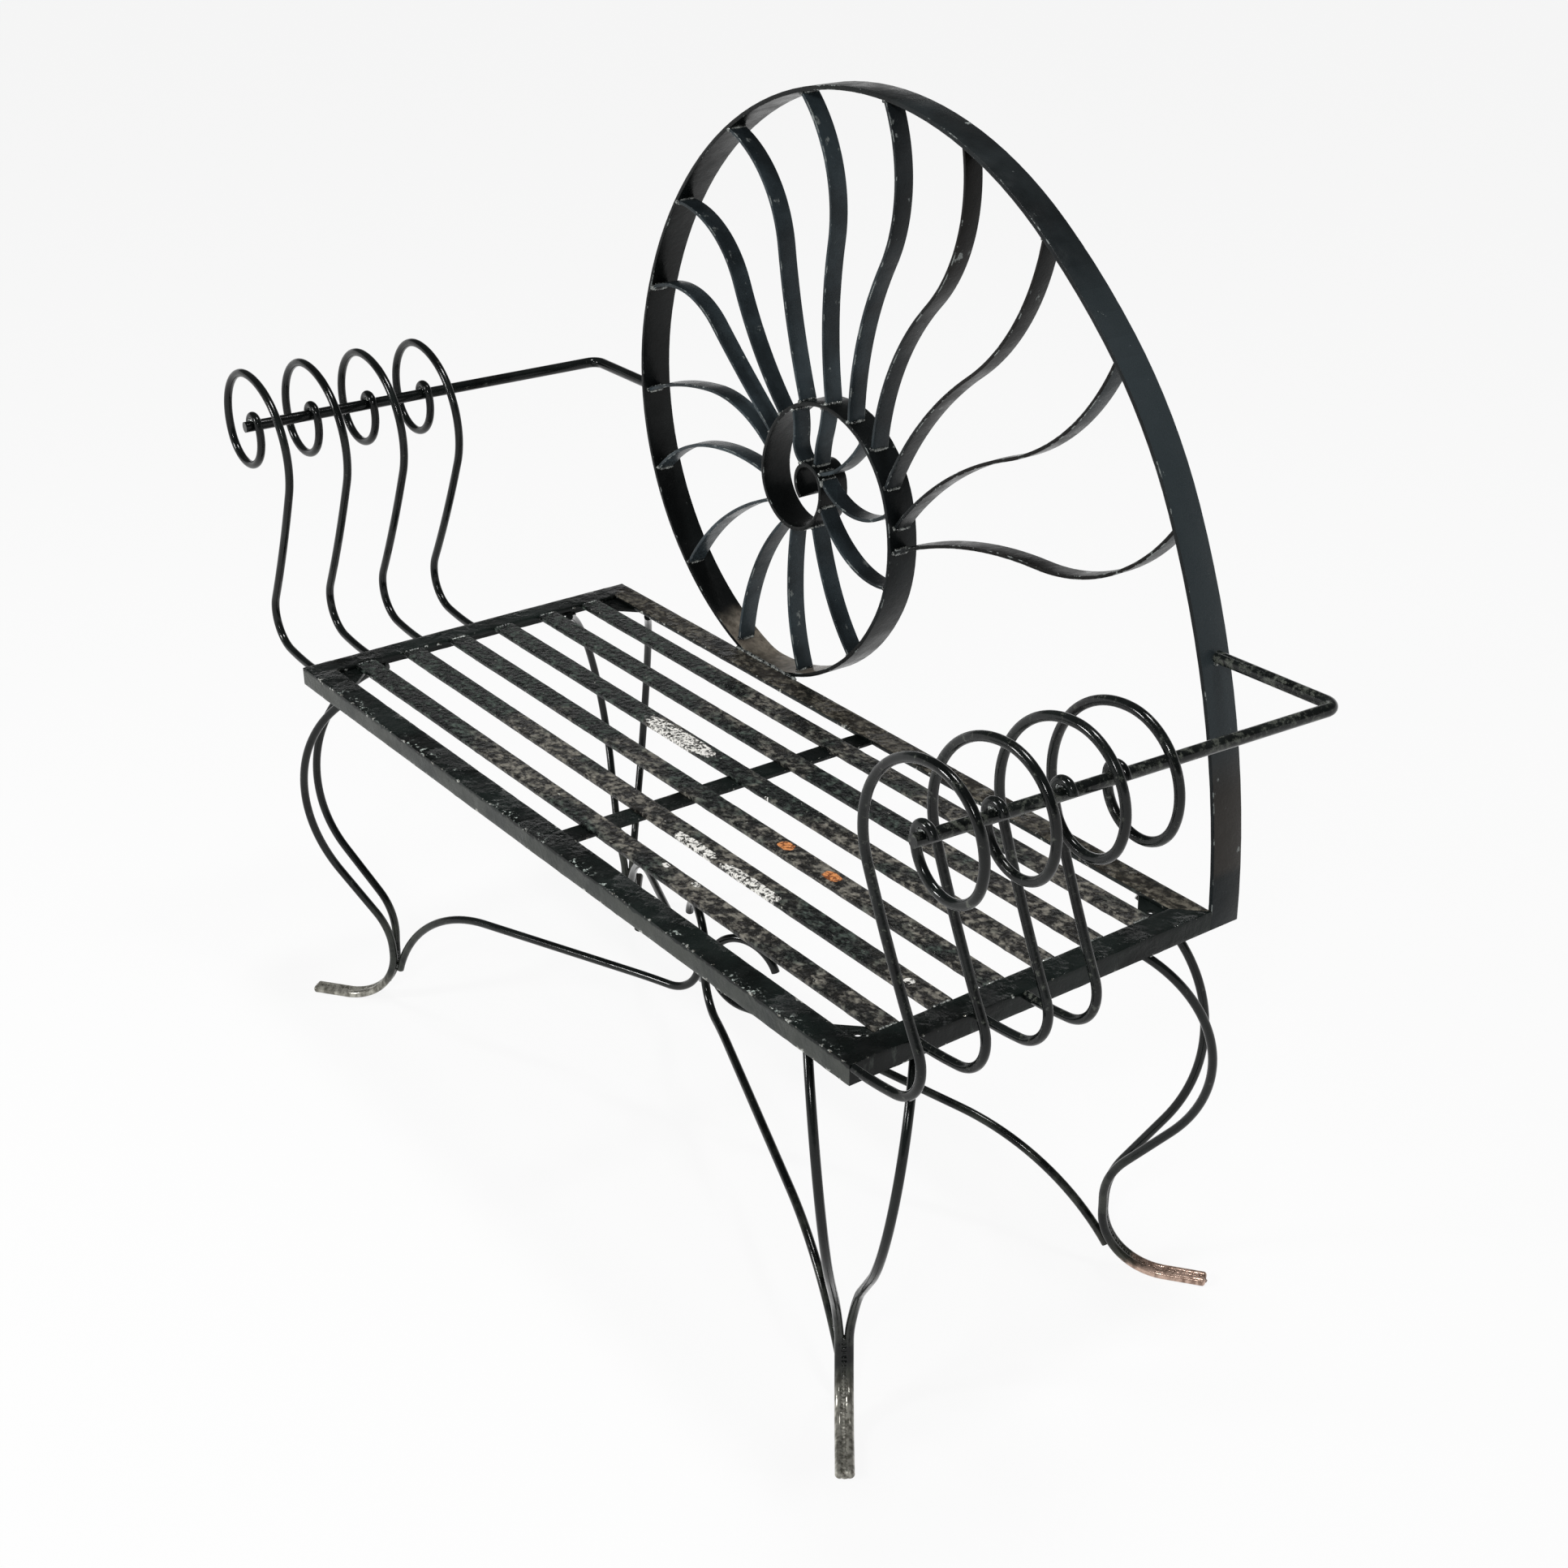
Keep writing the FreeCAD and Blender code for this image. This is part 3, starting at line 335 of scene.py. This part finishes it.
def slat_paint():
    """Weathered slats: scaly brown-grey, greener to the left, with flaked patches, chips, rust, and pale
    specks that are partly chipped paint and partly painted highlight.
    """
    paint = Paint("slat_weathered")
    tone, height = scaly(paint)
    brown = paint.mix(paint.span(tone, 0.3, 1.0), srgb(29, 28, 26), srgb(140, 136, 126))
    black = paint.mix(paint.span(tone, 0.4, 1.05), srgb(11, 15, 14), srgb(84, 95, 88))
    left = paint.span(paint.along("X"), *GREENER_SIDE, 0.0, 0.24)
    kept = paint.span(paint.math("ADD", paint.noise(95 * MM, detail=4, seed=1), left), 0.47, 0.58)
    colour = paint.mix(kept, brown, black)
    # Pale specks in clusters: partly chipped paint, partly a painted highlight standing in for the lamps'
    # sparkle
    flecks_and_glints = paint.noise(6 * MM, detail=4, roughness=0.7, seed=21)
    flecks_and_glints = paint.math("ADD", flecks_and_glints, paint.swing(50 * MM, 0.16, seed=23))
    flecks_and_glints = paint.span(flecks_and_glints, 0.67, 0.73)
    colour = paint.mix(flecks_and_glints, colour, srgb(214, 214, 204))
    ragged = paint.swing(7 * MM, 1.1, seed=12)
    crumbs = paint.span(paint.noise(3.4 * MM, detail=3, roughness=0.7, seed=14), 0.45, 0.53)
    crust = paint.mix(crumbs, srgb(46, 46, 42), srgb(244, 242, 236))
    colour = paint.mix(paint.patches(FLAKED_PATCHES + WHITE_CHIPS, ragged), colour, crust)
    rust = paint.mix(crumbs, srgb(122, 68, 36), srgb(226, 150, 92))
    colour = paint.mix(paint.patches(RUST_PATCHES, ragged), colour, rust)
    rough = paint.span(tone, 0.2, 1.0, 0.22, 0.55)
    normal = paint.bump(height, 0.9 * MM)
    normal = paint.bump(paint.noise(2.4 * MM, detail=4, roughness=0.7), 0.3 * MM, normal)
    return paint.finish(colour, rough, normal, 0.22)


def back_paint(name, left, right, nicked):
    """Black on the spiral and its ribs, of one colour to the left and one to the right, with pale nicks; on
    the ribs the lighter left colour is a painted sheen.

    The outer side of the band's right end is lighter, and the lowest turn is stained above the seat.
    """
    paint = Paint(name)
    # Left and right colours; on the ribs the pale blue-grey left one is a painted sheen of reflected light
    light = paint.mix(paint.beyond("X", 100 * MM), left, right)
    dark = paint.mix(0.35, srgb(6, 7, 7), light)
    colour = paint.mottled(80 * MM, dark, light)
    height = paint.along("Z")
    rise = paint.math("MULTIPLY", paint.facing("X", 0.5, 0.8), paint.span(paint.along("X"), *RIGHT_END))
    rise = paint.math("MULTIPLY", rise, paint.span(height, *RIGHT_END_START))
    upper = paint.span(height, *BLUER_PART)
    colour = paint.mix(rise, colour, paint.mix(upper, srgb(54, 51, 48), srgb(49, 56, 59)))
    tone = scaly(paint)[0]
    stain = paint.math("ADD", height, paint.swing(40 * MM, 10 * MM, seed=3))
    stain = paint.math("MULTIPLY", paint.span(stain, *STAIN), paint.facing("Z", 0.55, 0.8))
    colour = paint.mix(stain, colour, paint.mix(tone, srgb(92, 86, 77), srgb(140, 132, 120)))
    nicks = paint.noise(13 * MM, roughness=0.65, seed=8, where=paint.stretched(1.0, 1.0, 0.6))
    nicks = paint.math("ADD", nicks, paint.math("MULTIPLY", paint.worn_edge(), 0.1))
    nicks = paint.span(nicks, nicked, nicked + NICK_BLEND, 0.0, 0.75)
    colour = paint.mix(nicks, colour, srgb(150, 156, 154))
    rough = paint.uneven(28 * MM, 6, 0.2, 0.42)
    normal = paint.bump(paint.noise(30 * MM), 1.2 * MM)
    normal = paint.bump(paint.noise(2.6 * MM, detail=4), 0.2 * MM, normal)
    return paint.finish(colour, rough, normal, 0.14)


def weld_paint():
    """Painted weld beads, lumpy and shiny, with bare grey on the high spots."""
    paint = Paint("weld_black")
    worn = paint.span(paint.noise(7 * MM), 0.42, 0.6)
    colour = paint.mix(worn, srgb(22, 27, 27), srgb(166, 170, 166))
    normal = paint.bump(paint.noise(3.3 * MM, detail=4), 0.6 * MM)
    return paint.finish(colour, 0.22, normal, 0.6, paint.math("MULTIPLY", worn, BARE_WELD))


def floor_paint():
    """A pale, even studio floor that keeps the shadow."""
    paint = Paint("floor_pale")
    tone = paint.mix(paint.noise(1.2, detail=3), srgb(243, 243, 242), srgb(247, 247, 247))
    shade = paint.add("ShaderNodeBsdfDiffuse")
    paint.put(tone, shade.inputs["Color"])
    glow = paint.add("ShaderNodeEmission")
    path = paint.add("ShaderNodeLightPath").outputs
    seen = paint.math("ADD", path["Is Camera Ray"], path["Is Glossy Ray"], clamp=True)
    seen = paint.math("ADD", seen, path["Is Transmission Ray"], clamp=True)
    blend = paint.add("ShaderNodeMixShader")
    for value, socket in zip((paint.math("MULTIPLY", seen, FLOOR_GLOW), shade.outputs[0], glow.outputs[0]),
                             blend.inputs):
        paint.put(value, socket)
    paint.put(blend.outputs[0], paint.output.inputs["Surface"])
    return paint.material


ROD = rod_paint("rod_black", dust_from=0.6, dust_share=0.45, lumps=0.03 * MM, gloss=0.28)
SPECKLED_ROD = rod_paint("rod_speckled", dust_from=0.55, dust_share=0.5, lumps=0.14 * MM, gloss=0.3)
DUSTY_ROD = rod_paint("rod_dusty", dust_from=0.48, dust_share=0.45, lumps=0.14 * MM, gloss=0.3)
FRAME = frame_paint("frame_black", chipped=0.1)
FRONT = frame_paint("front_rail_black", chipped=0.15, chalky=True)
REAR = frame_paint("rear_rail_black", chipped=0.12, weathered=True)
SLAT = slat_paint()
BAND = back_paint("band_black", left=srgb(21, 24, 24), right=srgb(33, 38, 40), nicked=0.66)
# The ribs' pale blue-grey left colour is a painted sheen of reflected light; the near-black right one is
# their paint
RIB = back_paint("rib_black", left=srgb(64, 74, 79), right=srgb(22, 20, 18), nicked=0.63)
WELD = weld_paint()


def painted(piece, material):
    piece.data.materials.clear()
    piece.data.materials.append(material)


def new_piece(name, mesh, material):
    """A mesh as a piece that rides on the one body."""
    piece = bpy.data.objects.new(name, mesh)
    bpy.context.scene.collection.objects.link(piece)
    painted(piece, material)
    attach(piece, "root")
    return piece


# Bars and rails with worn edges

# The spacing of rings along a bar and of points round it, and the radius of its worn edges
RING_SPACING, SECTION_STEP = 7 * MM, 4 * MM
FEWEST_RINGS = 8
RAIL_EDGE, FLAT_EDGE = 0.9 * MM, 0.8 * MM

# Depths of the fine and the broad dents, how closely the fine ones follow along a bar and across it,
# how closely the broad ones do as a share of that, and how much of a dent shows away from the edges
FINE_DENT, BROAD_DENT = 0.28 * MM, 0.3 * MM
DENTS_ALONG, DENTS_ACROSS = 90, 160
BROAD_SHARE = 0.31
FACE_SHARE = 0.7

# Widths of the eased edges, the angles at which an edge is flat or sharp, and where shading breaks
BACK_EASE, GUSSET_EASE = 0.8 * MM, 0.5 * MM
FLAT_ANGLE, SHARP_ANGLE = math.radians(0.4), math.radians(40)
BAR_CREASE, EASED_CREASE = math.radians(50), math.radians(35)
SAME_POINT = 1e-6


def rounded(outline, radius, step):
    """A closed outline with rounded corners and divided sides, as points and their wear."""
    points = []
    count = len(outline)
    for index in range(count):
        before, corner, after = (Vector(outline[(index + k) % count]) for k in (-1, 0, 1))
        first, second = (before - corner).normalized(), (after - corner).normalized()
        start, end = corner + first * radius, corner + second * radius
        for share in (0.0, 0.5, 1.0):
            point = start.lerp(corner, share).lerp(corner.lerp(end, share), share)
            points.append((point, 1.0))
        length = (after - corner).length - 2 * radius
        pieces = max(1, round(length / step))
        points += [(end + second * (length * k / pieces), 0.0) for k in range(1, pieces)]
    return points


def bar_mesh(name, section, to_frame, length, mitred):
    """A section lofted along a bar, with slightly uneven faces and edges."""
    rings = max(FEWEST_RINGS, round(length / RING_SPACING))
    count = len(section)
    verts, wear = [], []
    for ring in range(rings + 1):
        for point, worn in section:
            half = length / 2 - (point.x if mitred else 0.0)
            along = half * (2 * ring / rings - 1)
            place = Vector((along * DENTS_ALONG, point.x * DENTS_ACROSS + len(name), point.y * DENTS_ACROSS))
            dent = noise.noise(place) * FINE_DENT + noise.noise(place * BROAD_SHARE) * BROAD_DENT
            shift = Vector((dent, -abs(dent))) if worn else Vector((0, dent * FACE_SHARE))
            verts.append(to_frame @ Vector((along, point.x + shift.x, point.y + shift.y)))
            wear.append(worn)
    faces = []
    for start in range(0, rings * count, count):
        for k in range(count):
            a, b = start + k, start + (k + 1) % count
            faces.append((a, b, b + count, a + count))
    faces.append(tuple(reversed(range(count))))
    faces.append(tuple(range(rings * count, (rings + 1) * count)))
    mesh = bpy.data.meshes.new(name)
    mesh.from_pydata(verts, [], faces)
    mesh.attributes.new("edge", "FLOAT", "POINT").data.foreach_set("value", wear)
    work = bmesh.new()
    work.from_mesh(mesh)
    bmesh.ops.recalc_face_normals(work, faces=work.faces)
    work.to_mesh(mesh)
    work.free()
    mesh.shade_smooth()
    mesh.set_sharp_from_angle(angle=BAR_CREASE)
    return mesh


def worn_bar(name, along, inward, outline, middle, radius, mitred, material):
    """A worn bar in place of a CAD node, drawn from its section's outline."""
    low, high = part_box(name)
    length = abs((high - low).dot(along))
    to_frame = Matrix.Translation(middle) @ Matrix((along, inward, UP)).transposed().to_4x4()
    mesh = bar_mesh(f"{name}_worn", rounded(outline, radius, SECTION_STEP), to_frame, length, mitred)
    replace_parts(new_piece(f"{name}_worn", mesh, material), name)


def worn_rail(name, along, inward, material):
    """An angle iron rail: flange on top, leg on the outer side, mitred ends."""
    low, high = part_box(name)
    width = abs((high - low).dot(inward))
    drop = high.z - low.z
    heights = sorted({round(vertex.co.z, 5) for vertex in nodes[name].data.vertices})
    wall = high.z - heights[1]
    outline = [(0, 0), (width, 0), (width, -wall), (wall, -wall), (wall, -drop), (0, -drop)]
    middle = (low + high) / 2 - inward * (width / 2)
    middle.z = high.z
    worn_bar(name, along, inward, outline, middle, RAIL_EDGE, True, material)


def worn_flat(name, along, inward, material):
    """A flat bar with square ends."""
    low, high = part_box(name)
    half = abs((high - low).dot(inward)) / 2
    thickness = high.z - low.z
    outline = [(-half, 0), (half, 0), (half, -thickness), (-half, -thickness)]
    middle = (low + high) / 2
    middle.z = high.z
    worn_bar(name, along, inward, outline, middle, FLAT_EDGE, False, material)


def eased(name, width, material):
    """A CAD node with its sharp edges eased, in place of the node."""
    mesh = nodes[name].data.copy()
    work = bmesh.new()
    work.from_mesh(mesh)
    bmesh.ops.remove_doubles(work, verts=work.verts, dist=SAME_POINT)
    bmesh.ops.dissolve_limit(work, angle_limit=FLAT_ANGLE, verts=work.verts, edges=work.edges)
    bmesh.ops.recalc_face_normals(work, faces=work.faces)
    sharp = [edge for edge in work.edges if edge.calc_face_angle(0) > SHARP_ANGLE]
    wear = work.faces.layers.float.new("edge")
    bevel = bmesh.ops.bevel(
        work, geom=sharp, offset=width, segments=2, profile=0.6, affect="EDGES", clamp_overlap=True
    )
    for face in bevel["faces"]:
        face[wear] = 1.0
    bmesh.ops.triangulate(work, faces=[face for face in work.faces if len(face.verts) > 4])
    work.to_mesh(mesh)
    work.free()
    mesh.shade_smooth()
    mesh.set_sharp_from_angle(angle=EASED_CREASE)
    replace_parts(new_piece(f"{name}_eased", mesh, material), name)


# Weld beads

# Gaps that a weld closes, and the least distance between two spots of weld
RIB_GAP, FOOT_GAP = 1.6 * MM, 0.6 * MM
RIB_SPACING, ROD_SPACING = 30 * MM, 20 * MM

# Radii of the beads
RIB_SIDE_BEAD, RIB_FRONT_BEAD, BAND_BEAD = 1.9 * MM, 2.3 * MM, 2.2 * MM
SLAT_BEAD, FOOT_BEAD = 1.6 * MM, 4.4 * MM

# A rib's beads: the depth of its front edge, and the places of a side bead as shares of its depth
FRONT_EDGE = 2 * MM
SIDE_BEAD_SHARES = (0.1, 0.55, 0.95)

# Where the band stands on the rear rail: its height above the seat and its depth behind it
BAND_FOOT_HEIGHT, BAND_FOOT_DEPTH = 4 * MM, 1 * MM

# A slat's beads: their distance from its corners, and how deep they sink
SLAT_INSET, SLAT_SINK = 3 * MM, 0.9 * MM

# A foot's bead: the spacing of its points, and how far it runs past the rods' last touch
FOOT_STEP, FOOT_OVERRUN = 8 * MM, 3 * MM

# A rod's beads: the least half length, and the share of the touching length that they cover
ROD_BEAD_LEAST = 3 * MM
ROD_BEAD_SHARE = 0.85


def touching(name, others, gap):
    """Points of a node that lie against other nodes, to a tenth of a millimetre."""
    work = bmesh.new()
    for other in others:
        work.from_mesh(nodes[other].data)
    tree = BVHTree.FromBMesh(work)
    work.free()
    points = {tuple(round(c, 4) for c in vertex.co) for vertex in nodes[name].data.vertices}
    return [Vector(point) for point in sorted(points) if tree.find_nearest(point, gap)[0] is not None]


def gathered(points, reach):
    """Points split into spots that lie further apart than the reach."""
    spots = []
    left = list(points)
    while left:
        spot = [left.pop()]
        for point in spot:
            near = [other for other in left if (other - point).length < reach]
            left = [other for other in left if (other - point).length >= reach]
            spot += near
        spots.append(spot)
    return spots


class Beads:
    """Weld beads as lumpy tubes that stay above the floor, all in one mesh."""

    SIDES = 8
    STEP = 1.3 * MM
    # Height and pace of the ripples and of the lumps, and the size of a bead's ends, as shares
    RIPPLE, RIPPLE_PACE = 0.22, 2.1
    LUMP, LUMP_PACE = 0.35, 260
    END_SIZE = 0.6

    def __init__(self, name, slot):
        self.name = name
        self.slot = slot
        self.work = bmesh.new()

    def ring(self, centre, ahead, size):
        side = ahead.orthogonal().normalized()
        other = ahead.cross(side)
        verts = []
        for k in range(self.SIDES):
            turn = 2 * math.pi * k / self.SIDES
            out = side * math.cos(turn) + other * math.sin(turn)
            place = centre + out * size
            place.z = max(place.z, FLOOR_LEVEL)
            verts.append(self.work.verts.new(place))
        return verts

    def run(self, path, radius):
        """A bead along a line of points, with the ripples of a weld."""
        points = []
        for start, end in zip(path, path[1:]):
            steps = max(1, round((end - start).length / self.STEP))
            points += [start.lerp(end, k / steps) for k in range(steps)]
        points.append(path[-1])
        last = len(points) - 1
        rings = []
        for index, point in enumerate(points):
            ahead = (points[min(last, index + 1)] - points[max(0, index - 1)]).normalized()
            ripple = self.RIPPLE * math.sin(index * self.RIPPLE_PACE)
            lump = self.LUMP * noise.noise(point * self.LUMP_PACE)
            size = radius * (1 + ripple + lump) * (self.END_SIZE if index in (0, last) else 1.0)
            rings.append(self.ring(point, ahead, size))
        for near, far in zip(rings, rings[1:]):
            for k in range(self.SIDES):
                following = (k + 1) % self.SIDES
                self.work.faces.new((near[k], near[following], far[following], far[k]))
        self.work.faces.new(rings[0])
        self.work.faces.new(rings[-1])

    def done(self, material):
        bmesh.ops.recalc_face_normals(self.work, faces=self.work.faces)
        mesh = bpy.data.meshes.new(self.name)
        self.work.to_mesh(mesh)
        self.work.free()
        mesh.shade_smooth()
        new_piece(self.name, mesh, material)


def rib_welds():
    """Beads round the ends of the ribs, and where the spiral stands on the rear rail."""
    beads = Beads("welds_back", "back_paint")
    for name in RIBS:
        for spot in gathered(touching(name, ["spiral_band"], RIB_GAP), RIB_SPACING):
            front = min(point.y for point in spot)
            depth = Vector((0, max(point.y for point in spot) - front, 0))
            edge = [point for point in spot if point.y < front + FRONT_EDGE]
            edge.sort(key=lambda point: (point.x, point.z))
            for corner in (edge[0], edge[-1]):
                beads.run([corner + depth * share for share in SIDE_BEAD_SHARES], RIB_SIDE_BEAD)
            beads.run([edge[0], edge[-1]], RIB_FRONT_BEAD)
    top, back = SEAT_TOP + BAND_FOOT_HEIGHT, SEAT_BACK + BAND_FOOT_DEPTH
    band = [vertex.co for vertex in nodes["spiral_band"].data.vertices]
    low = [place.x for place in band if place.z < top and place.x < 0 and place.y < back]
    beads.run([Vector((x, SEAT_BACK, SEAT_TOP)) for x in (min(low), max(low))], BAND_BEAD)
    beads.done(WELD)


def slat_welds():
    """Beads across the ends of the slats, sunk into the joint with the rails."""
    beads = Beads("welds_slats", "seat_frame_paint")
    for name in SLATS:
        low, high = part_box(name)
        z = high.z - SLAT_SINK
        for x in (low.x, high.x):
            beads.run([Vector((x, y, z)) for y in (low.y + SLAT_INSET, high.y - SLAT_INSET)], SLAT_BEAD)
    beads.done(WELD)


def foot_welds():
    """Weld metal that fills the groove between the two rods of each foot and ankle, and ends the foot."""
    beads = Beads("welds_feet", "rod_paint")
    for corner in CORNERS:
        rods = [f"leg_{corner}_{kind}_rod" for kind in ("front", "side")]
        spots = touching(rods[0], rods[1:], FOOT_GAP)
        tip = min(spots, key=lambda point: -abs(point.x) - abs(point.y))
        reach = {}
        for spot in spots:
            travel = math.hypot(spot.x - tip.x, spot.y - tip.y) + spot.z
            reach.setdefault(round(travel / FOOT_STEP), []).append(spot)
        path = [sum(group, Vector()) / len(group) for _, group in sorted(reach.items())]
        end = path[0] + (path[0] - path[1]).normalized() * FOOT_OVERRUN
        beads.run([end] + path, FOOT_BEAD)
    beads.done(ROD)


def rod_welds(title, names, others, radius, gap):
    """Beads where rods lie against what they are welded to."""
    beads = Beads(title, "rod_paint")
    for name in names:
        against = [other for other in others if other != name]
        for spot in gathered(touching(name, against, gap), ROD_SPACING):
            middle = sum(spot, Vector()) / len(spot)
            far = max(spot, key=lambda point: (point - middle).length)
            along = (far - middle).normalized() if far != middle else UP
            reach = max(ROD_BEAD_LEAST, ROD_BEAD_SHARE * (far - middle).length)
            beads.run([middle - along * reach, middle + along * reach], radius)
    beads.done(WELD)


worn_rail("rail_front", X, Y, FRONT)
worn_rail("rail_rear", X, -Y, REAR)
worn_rail("rail_left", Y, X, FRAME)
worn_rail("rail_right", Y, -X, FRAME)
for slat in SLATS:
    worn_flat(slat, X, Y, SLAT)
worn_flat("cross_bar", Y, X, FRAME)
eased("spiral_band", BACK_EASE, BAND)
for rib in RIBS:
    eased(rib, BACK_EASE, RIB)
for gusset in GUSSETS:
    eased(gusset, GUSSET_EASE, FRAME)
for rod in LEGS + STRETCHERS + LEFT_SCROLLS + ["arm_rail_left"]:
    painted(nodes[rod], ROD)
for rod in RIGHT_SCROLLS:
    painted(nodes[rod], SPECKLED_ROD)
painted(nodes["arm_rail_right"], DUSTY_ROD)
rib_welds()
slat_welds()
foot_welds()
rod_welds("welds_arms", SCROLLS, RAILS, radius=3 * MM, gap=0.5 * MM)
rod_welds("welds_hooks", SCROLLS, ARM_RAILS, radius=3.6 * MM, gap=0.9 * MM)
rod_welds("welds_arm_rails", ARM_RAILS, ["spiral_band"], radius=3 * MM, gap=2 * MM)
rod_welds("welds_legs", LEGS, RAILS + GUSSETS, radius=2.6 * MM, gap=1.3 * MM)
rod_welds("welds_stretchers", STRETCHERS, STRETCHERS + LEGS, radius=2.4 * MM, gap=0.8 * MM)


# Floor, light and camera

FLOOR_HALF = 30.0

# The room round the bench: where the walls end and the ceiling starts, as the upward share of a
# look towards them, and how bright they are
WALL_TOP, CEILING_EDGE = 0.09, 0.3
WALL_LIGHT, CEILING_LIGHT = 0.92, 0.1

# The camera at the photo's view, in metres, with the sensor and lens in millimetres
CAMERA_PLACE = Vector((1.9025, -1.2908, 1.6080))
CAMERA_RIGHT = Vector((0.61885, 0.78540, 0.01274))
CAMERA_UP = Vector((-0.36461, 0.27285, 0.89027))
CAMERA_BACK = Vector((0.69575, -0.55559, 0.45523))
SENSOR, LENS = 36, 54.19
SHIFT_X, SHIFT_Y = -0.0598, 0.0064
CLIP_START, CLIP_END = 0.05, 100


def floor():
    """A floor that reaches past the edge of every view."""
    mesh = bpy.data.meshes.new("floor")
    corners = [(FLOOR_HALF * x, FLOOR_HALF * y, FLOOR_LEVEL) for x, y in ((-1, -1), (1, -1), (1, 1), (-1, 1))]
    mesh.from_pydata(corners, [], [(0, 1, 2, 3)])
    piece = bpy.data.objects.new("floor", mesh)
    bpy.context.scene.collection.objects.link(piece)
    painted(piece, floor_paint())


def soft_box(name, place, aim, width, power):
    """A square lamp at a place, turned towards its aim, in metres and watts."""
    lamp = bpy.data.lights.new(name, "AREA")
    lamp.size = width
    lamp.energy = power
    holder = bpy.data.objects.new(name, lamp)
    bpy.context.scene.collection.objects.link(holder)
    holder.location = place
    holder.rotation_mode = "QUATERNION"
    holder.rotation_quaternion = (Vector(aim) - Vector(place)).to_track_quat("-Z", "Y")


def studio():
    """A room with pale walls and a dark ceiling, and soft boxes in front, above and to the right."""
    world = bpy.data.worlds.new("studio")
    bpy.context.scene.world = world
    world.use_nodes = True
    tree = world.node_tree
    way = tree.nodes.new("ShaderNodeTexCoord").outputs["Generated"]
    split = tree.nodes.new("ShaderNodeSeparateXYZ")
    tree.links.new(way, split.inputs[0])
    room = tree.nodes.new("ShaderNodeMapRange")
    room.interpolation_type = "SMOOTHSTEP"
    room.inputs["From Min"].default_value = WALL_TOP
    room.inputs["From Max"].default_value = CEILING_EDGE
    room.inputs["To Min"].default_value = WALL_LIGHT
    room.inputs["To Max"].default_value = CEILING_LIGHT
    tree.links.new(split.outputs["Z"], room.inputs["Value"])
    background = tree.nodes["Background"]
    background.inputs["Color"].default_value = (1, 1, 1, 1)
    tree.links.new(room.outputs["Result"], background.inputs["Strength"])
    soft_box("front_box", place=(-1.2, -3.4, 2.0), aim=(0, 0, 0.5), width=0.6, power=64)
    soft_box("top_box", place=(0.4, 0.4, 4.2), aim=(0, 0, 0.4), width=0.7, power=84)
    soft_box("right_box", place=(2.6, -2.4, 3.0), aim=(0, 0, 0.6), width=0.4, power=38)


def camera():
    data = bpy.data.cameras.new("camera")
    data.sensor_width = SENSOR
    data.lens = LENS
    data.shift_x = SHIFT_X
    data.shift_y = SHIFT_Y
    data.clip_start = CLIP_START
    data.clip_end = CLIP_END
    holder = bpy.data.objects.new("camera", data)
    bpy.context.scene.collection.objects.link(holder)
    turn = Matrix((CAMERA_RIGHT, CAMERA_UP, CAMERA_BACK)).transposed().to_4x4()
    holder.matrix_world = Matrix.Translation(CAMERA_PLACE) @ turn
    bpy.context.scene.camera = holder


floor()
studio()
camera()
bpy.context.scene.view_settings.view_transform = "Standard"
